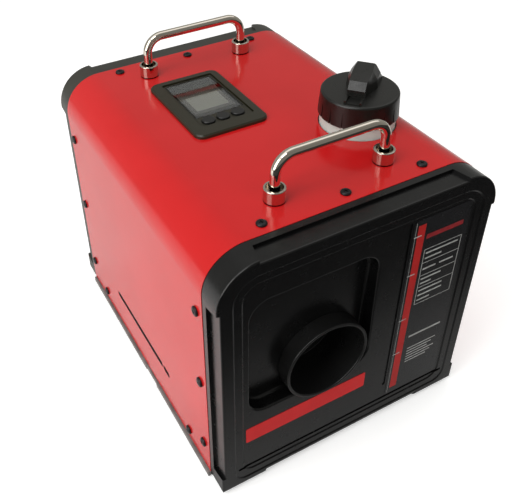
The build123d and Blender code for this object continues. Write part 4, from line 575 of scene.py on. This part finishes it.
# Painted reflection: the warm tint of both chromes stands for a brownish room mirrored in them.
bright_chrome, shader, tree = plain_finish("bright_chrome", (0.75, 0.69, 0.60), 0.06, 1.0)
vary_roughness(tree, shader, grain(tree, 180.0), 0.04, 0.09)
dress(bright_chrome, "handle_front", "handle_rear")

cup_chrome, shader, tree = plain_finish("cup_chrome", CUP_SHADED_CHROME, 0.08, 1.0)
vary_roughness(tree, shader, grain(tree, 180.0), 0.05, 0.11)
# Painted shade: the foot of each cup is darkened to stand for the contact shadow on the paint.
shaded_foot = step(tree, "LESS_THAN", coordinates(tree)["Z"], CUP_SHADE_TOP)
blend_colour(tree, shader, shaded_foot, CUP_SHADED_CHROME, CUP_PAINTED_SHADE)
dress(cup_chrome, "handle_cups_front", "handle_cups_rear")

# --- Controller: a black moulded bezel let into the sheet. The open box that hangs under it holds
# the circuit board on four posts.
bezel_plastic, shader, tree = plain_finish("bezel_plastic", (0.020, 0.018, 0.009), 0.34)
vary_roughness(tree, shader, grain(tree, 120.0), 0.3, 0.42)
raise_grain(tree, shader, grain(tree, 1800.0, 2.0), 0.2, 0.0001)
dress(bezel_plastic, "controller_bezel", "controller_housing")

board_dark, shader, tree = plain_finish("board_dark", (0.02, 0.03, 0.02), 0.4)
vary_colour(tree, shader, grain(tree, 300.0), (0.016, 0.026, 0.016), (0.026, 0.034, 0.024))
dress(board_dark, "controller_board")

# --- Display and window: a small display whose live area is pale grey in a darker brown surround,
# under a clear, glossy plastic window seated in the bezel.
LIVE_ACROSS = -0.0263
LIVE_ALONG = 0.0375
LIVE_HALF_WIDTH = 0.0157
LIVE_HALF_LENGTH = 0.0122
LIVE_SURROUND = (0.055, 0.041, 0.029)
display_grey, shader, tree = plain_finish("display_grey", (0.25, 0.235, 0.19), 0.4)
live_grey = vary_colour(tree, shader, grain(tree, 40.0), (0.24, 0.225, 0.18), (0.26, 0.245, 0.20))
display_place = coordinates(tree)
across = step(tree, "ABSOLUTE", step(tree, "SUBTRACT", display_place["X"], LIVE_ACROSS))
across = step(tree, "LESS_THAN", across, LIVE_HALF_WIDTH)
along = step(tree, "ABSOLUTE", step(tree, "SUBTRACT", display_place["Y"], LIVE_ALONG))
along = step(tree, "LESS_THAN", along, LIVE_HALF_LENGTH)
live_area = step(tree, "MULTIPLY", across, along)
blend_colour(tree, shader, live_area, LIVE_SURROUND, live_grey)
dress(display_grey, "display_panel")

window_glass, shader, tree = plain_finish("window_glass", (0.75, 0.77, 0.76), 0.03)
shader.inputs["Transmission Weight"].default_value = 1.0
shader.inputs["IOR"].default_value = 1.49
vary_roughness(tree, shader, grain(tree, 30.0), 0.015, 0.04)
dress(window_glass, "display_window")

# --- Buttons: three keys of soft black rubber in the bezel, polished by fingers. Each is pressed
# in by a millimetre and springs back.
key_rubber, shader, tree = plain_finish("key_rubber", (0.010, 0.010, 0.010), 0.2)
vary_roughness(tree, shader, grain(tree, 200.0), 0.17, 0.26)
dress(key_rubber, "button_left", "button_middle", "button_right")

# --- Banner: a plain red film with rounded corners, stuck to the front panel below the pocket.
# Each film's or print's area is its left and right end, its lower edge and its upper edge.
PANEL_FIELD = -0.1604
FILM = 0.00025
FILM_SEGMENTS = 6
BANNER_AREA = (-0.1015, 0.0160, 0.0585, 0.0762)
BANNER_CORNER = 0.0012


def add_film(shape, area, back, thickness, corner=0.0):
    """Add one flat piece of film or print to a shape, its corners rounded."""
    left, right, low, top = area
    size = (right - left, thickness, top - low)
    verts = add_block(shape, size, ((left + right) / 2, back - thickness / 2, (low + top) / 2))
    if corner:
        edges = {edge for vert in verts for edge in vert.link_edges}
        sides = [e for e in edges if abs(e.verts[0].co.y - e.verts[1].co.y) > thickness / 2]
        round_edges(shape, sides, corner, FILM_SEGMENTS)


banner_red, shader, tree = plain_finish("banner_red", (0.58, 0.011, 0.013), 0.3)
shader.inputs["Specular IOR Level"].default_value = 0.25
vary_colour(tree, shader, grain(tree, 60.0), (0.56, 0.010, 0.012), (0.60, 0.012, 0.014))
vary_roughness(tree, shader, grain(tree, 90.0), 0.28, 0.32)
banner_shape = bmesh.new()
add_film(banner_shape, BANNER_AREA, PANEL_FIELD, FILM, BANNER_CORNER)
banner = as_object(banner_shape, "banner_plate", banner_red)
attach(banner, "heater")

# --- Data plate: a tall black film beside the pocket, with a red stripe down its left side and a
# short red bar at its head.
PRINT = 0.00006
PLATE_AREA = (0.0432, 0.1005, 0.0280, 0.2300)
PLATE_CORNER = 0.004
PLATE_FRONT = PANEL_FIELD - FILM
STRIPE_AREA = (0.0476, 0.0550, 0.0350, 0.2245)
TITLE_AREA = (0.0575, 0.0945, 0.2080, 0.2125)
plate_black, shader, tree = plain_finish("plate_black", (0.010, 0.010, 0.011), 0.22)
vary_roughness(tree, shader, grain(tree, 90.0), 0.18, 0.28)
plate_shape = bmesh.new()
add_film(plate_shape, PLATE_AREA, PANEL_FIELD, FILM, PLATE_CORNER)
data_plate = as_object(plate_shape, "data_plate", plate_black)
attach(data_plate, "heater")

stripe_red, shader, tree = plain_finish("stripe_red", (0.39, 0.010, 0.009), 0.3)
shader.inputs["Specular IOR Level"].default_value = 0.25
vary_colour(tree, shader, grain(tree, 60.0), (0.37, 0.009, 0.008), (0.41, 0.011, 0.010))
vary_roughness(tree, shader, grain(tree, 90.0), 0.28, 0.32)
stripe_shape = bmesh.new()
add_film(stripe_shape, STRIPE_AREA, PLATE_FRONT, PRINT)
stripe = as_object(stripe_shape, "data_plate_stripe", stripe_red)
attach(stripe, "heater")

title_red, shader, tree = plain_finish("title_red", (0.24, 0.010, 0.014), 0.3)
vary_colour(tree, shader, grain(tree, 300.0), (0.20, 0.008, 0.012), (0.28, 0.012, 0.016))
title_shape = bmesh.new()
add_film(title_shape, TITLE_AREA, PLATE_FRONT, PRINT)
title = as_object(title_shape, "data_plate_title", title_red)
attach(title, "heater")

# --- Grey print on the data plate: a table of plain bars, each at a share of its cell's height and
# from one share of the table's width to another. Below it come a bold rule and six short rows,
# and a thin line with four ticks runs up the stripe.
TABLE_LEFT = 0.0583
TABLE_RIGHT = 0.0960
TABLE_WIDTH = TABLE_RIGHT - TABLE_LEFT
TABLE_RULES = (0.1965, 0.1820, 0.1682, 0.1552, 0.1361)
CELL_BARS = (
    ((0.70, 0.05, 0.92), (0.32, 0.05, 0.50)),
    ((0.50, 0.05, 0.40), (0.50, 0.50, 0.88)),
    ((0.68, 0.05, 0.60), (0.30, 0.05, 0.35)),
    ((0.78, 0.05, 0.70), (0.50, 0.05, 0.72), (0.22, 0.05, 0.40)),
)
RULE = 0.0006
BAR = 0.0016
BOLD_AREA = (0.0595, 0.0945, 0.0955, 0.0976)
ROW_LEFT = 0.0605
ROW_RIGHT = 0.0920
ROW_TOP = 0.0807
ROW_PITCH = 0.0035
ROW_INDENT = 0.004
ROW_CYCLE = 3
ROW_COUNT = 6
ROW = 0.0012
TICK_ENDS = (0.0445, 0.0520)
TICK_HEIGHTS = (0.081, 0.123, 0.174, 0.214)
TICK = 0.001
LINE_AREA = (0.0453, 0.0456, 0.0300, 0.2280)


def add_bar(left, right, height, thickness, back=PLATE_FRONT):
    """Print one level bar at a height."""
    area = (left, right, height - thickness / 2, height + thickness / 2)
    add_film(print_shape, area, back, PRINT)


print_grey, shader, tree = plain_finish("print_grey", (0.32, 0.32, 0.31), 0.35)
vary_colour(tree, shader, grain(tree, 250.0), (0.26, 0.26, 0.25), (0.38, 0.38, 0.37))
print_shape = bmesh.new()
for height in TABLE_RULES:
    add_bar(TABLE_LEFT, TABLE_RIGHT, height, RULE)
for x in (TABLE_LEFT, TABLE_RIGHT):
    side_area = (x - RULE / 2, x + RULE / 2, TABLE_RULES[-1], TABLE_RULES[0])
    add_film(print_shape, side_area, PLATE_FRONT, PRINT)
for top, low, bars in zip(TABLE_RULES, TABLE_RULES[1:], CELL_BARS):
    for share, start, end in bars:
        left = TABLE_LEFT + start * TABLE_WIDTH
        right = TABLE_LEFT + end * TABLE_WIDTH
        add_bar(left, right, low + share * (top - low), BAR)
add_film(print_shape, BOLD_AREA, PLATE_FRONT, PRINT)
for row in range(ROW_COUNT):
    row_right = ROW_RIGHT - (row % ROW_CYCLE) * ROW_INDENT
    add_bar(ROW_LEFT, row_right, ROW_TOP - row * ROW_PITCH, ROW)
for height in TICK_HEIGHTS:
    add_bar(*TICK_ENDS, height, TICK, PLATE_FRONT - PRINT)
add_film(print_shape, LINE_AREA, PLATE_FRONT, PRINT)
grey_print = as_object(print_shape, "data_plate_grey_print", print_grey)
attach(grey_print, "heater")

# --- Fuel cap: a black moulding with upright grooves round its skirt and a raised grip. It screws
# down on the tank's neck and carries the seal ring.
cap_black, shader, tree = plain_finish("cap_black", (0.006, 0.006, 0.005), 0.3)
vary_roughness(tree, shader, grain(tree, 140.0), 0.27, 0.35)
raise_grain(tree, shader, grain(tree, 1600.0, 2.0), 0.25, 0.00015)
dress(cap_black, "fuel_cap")
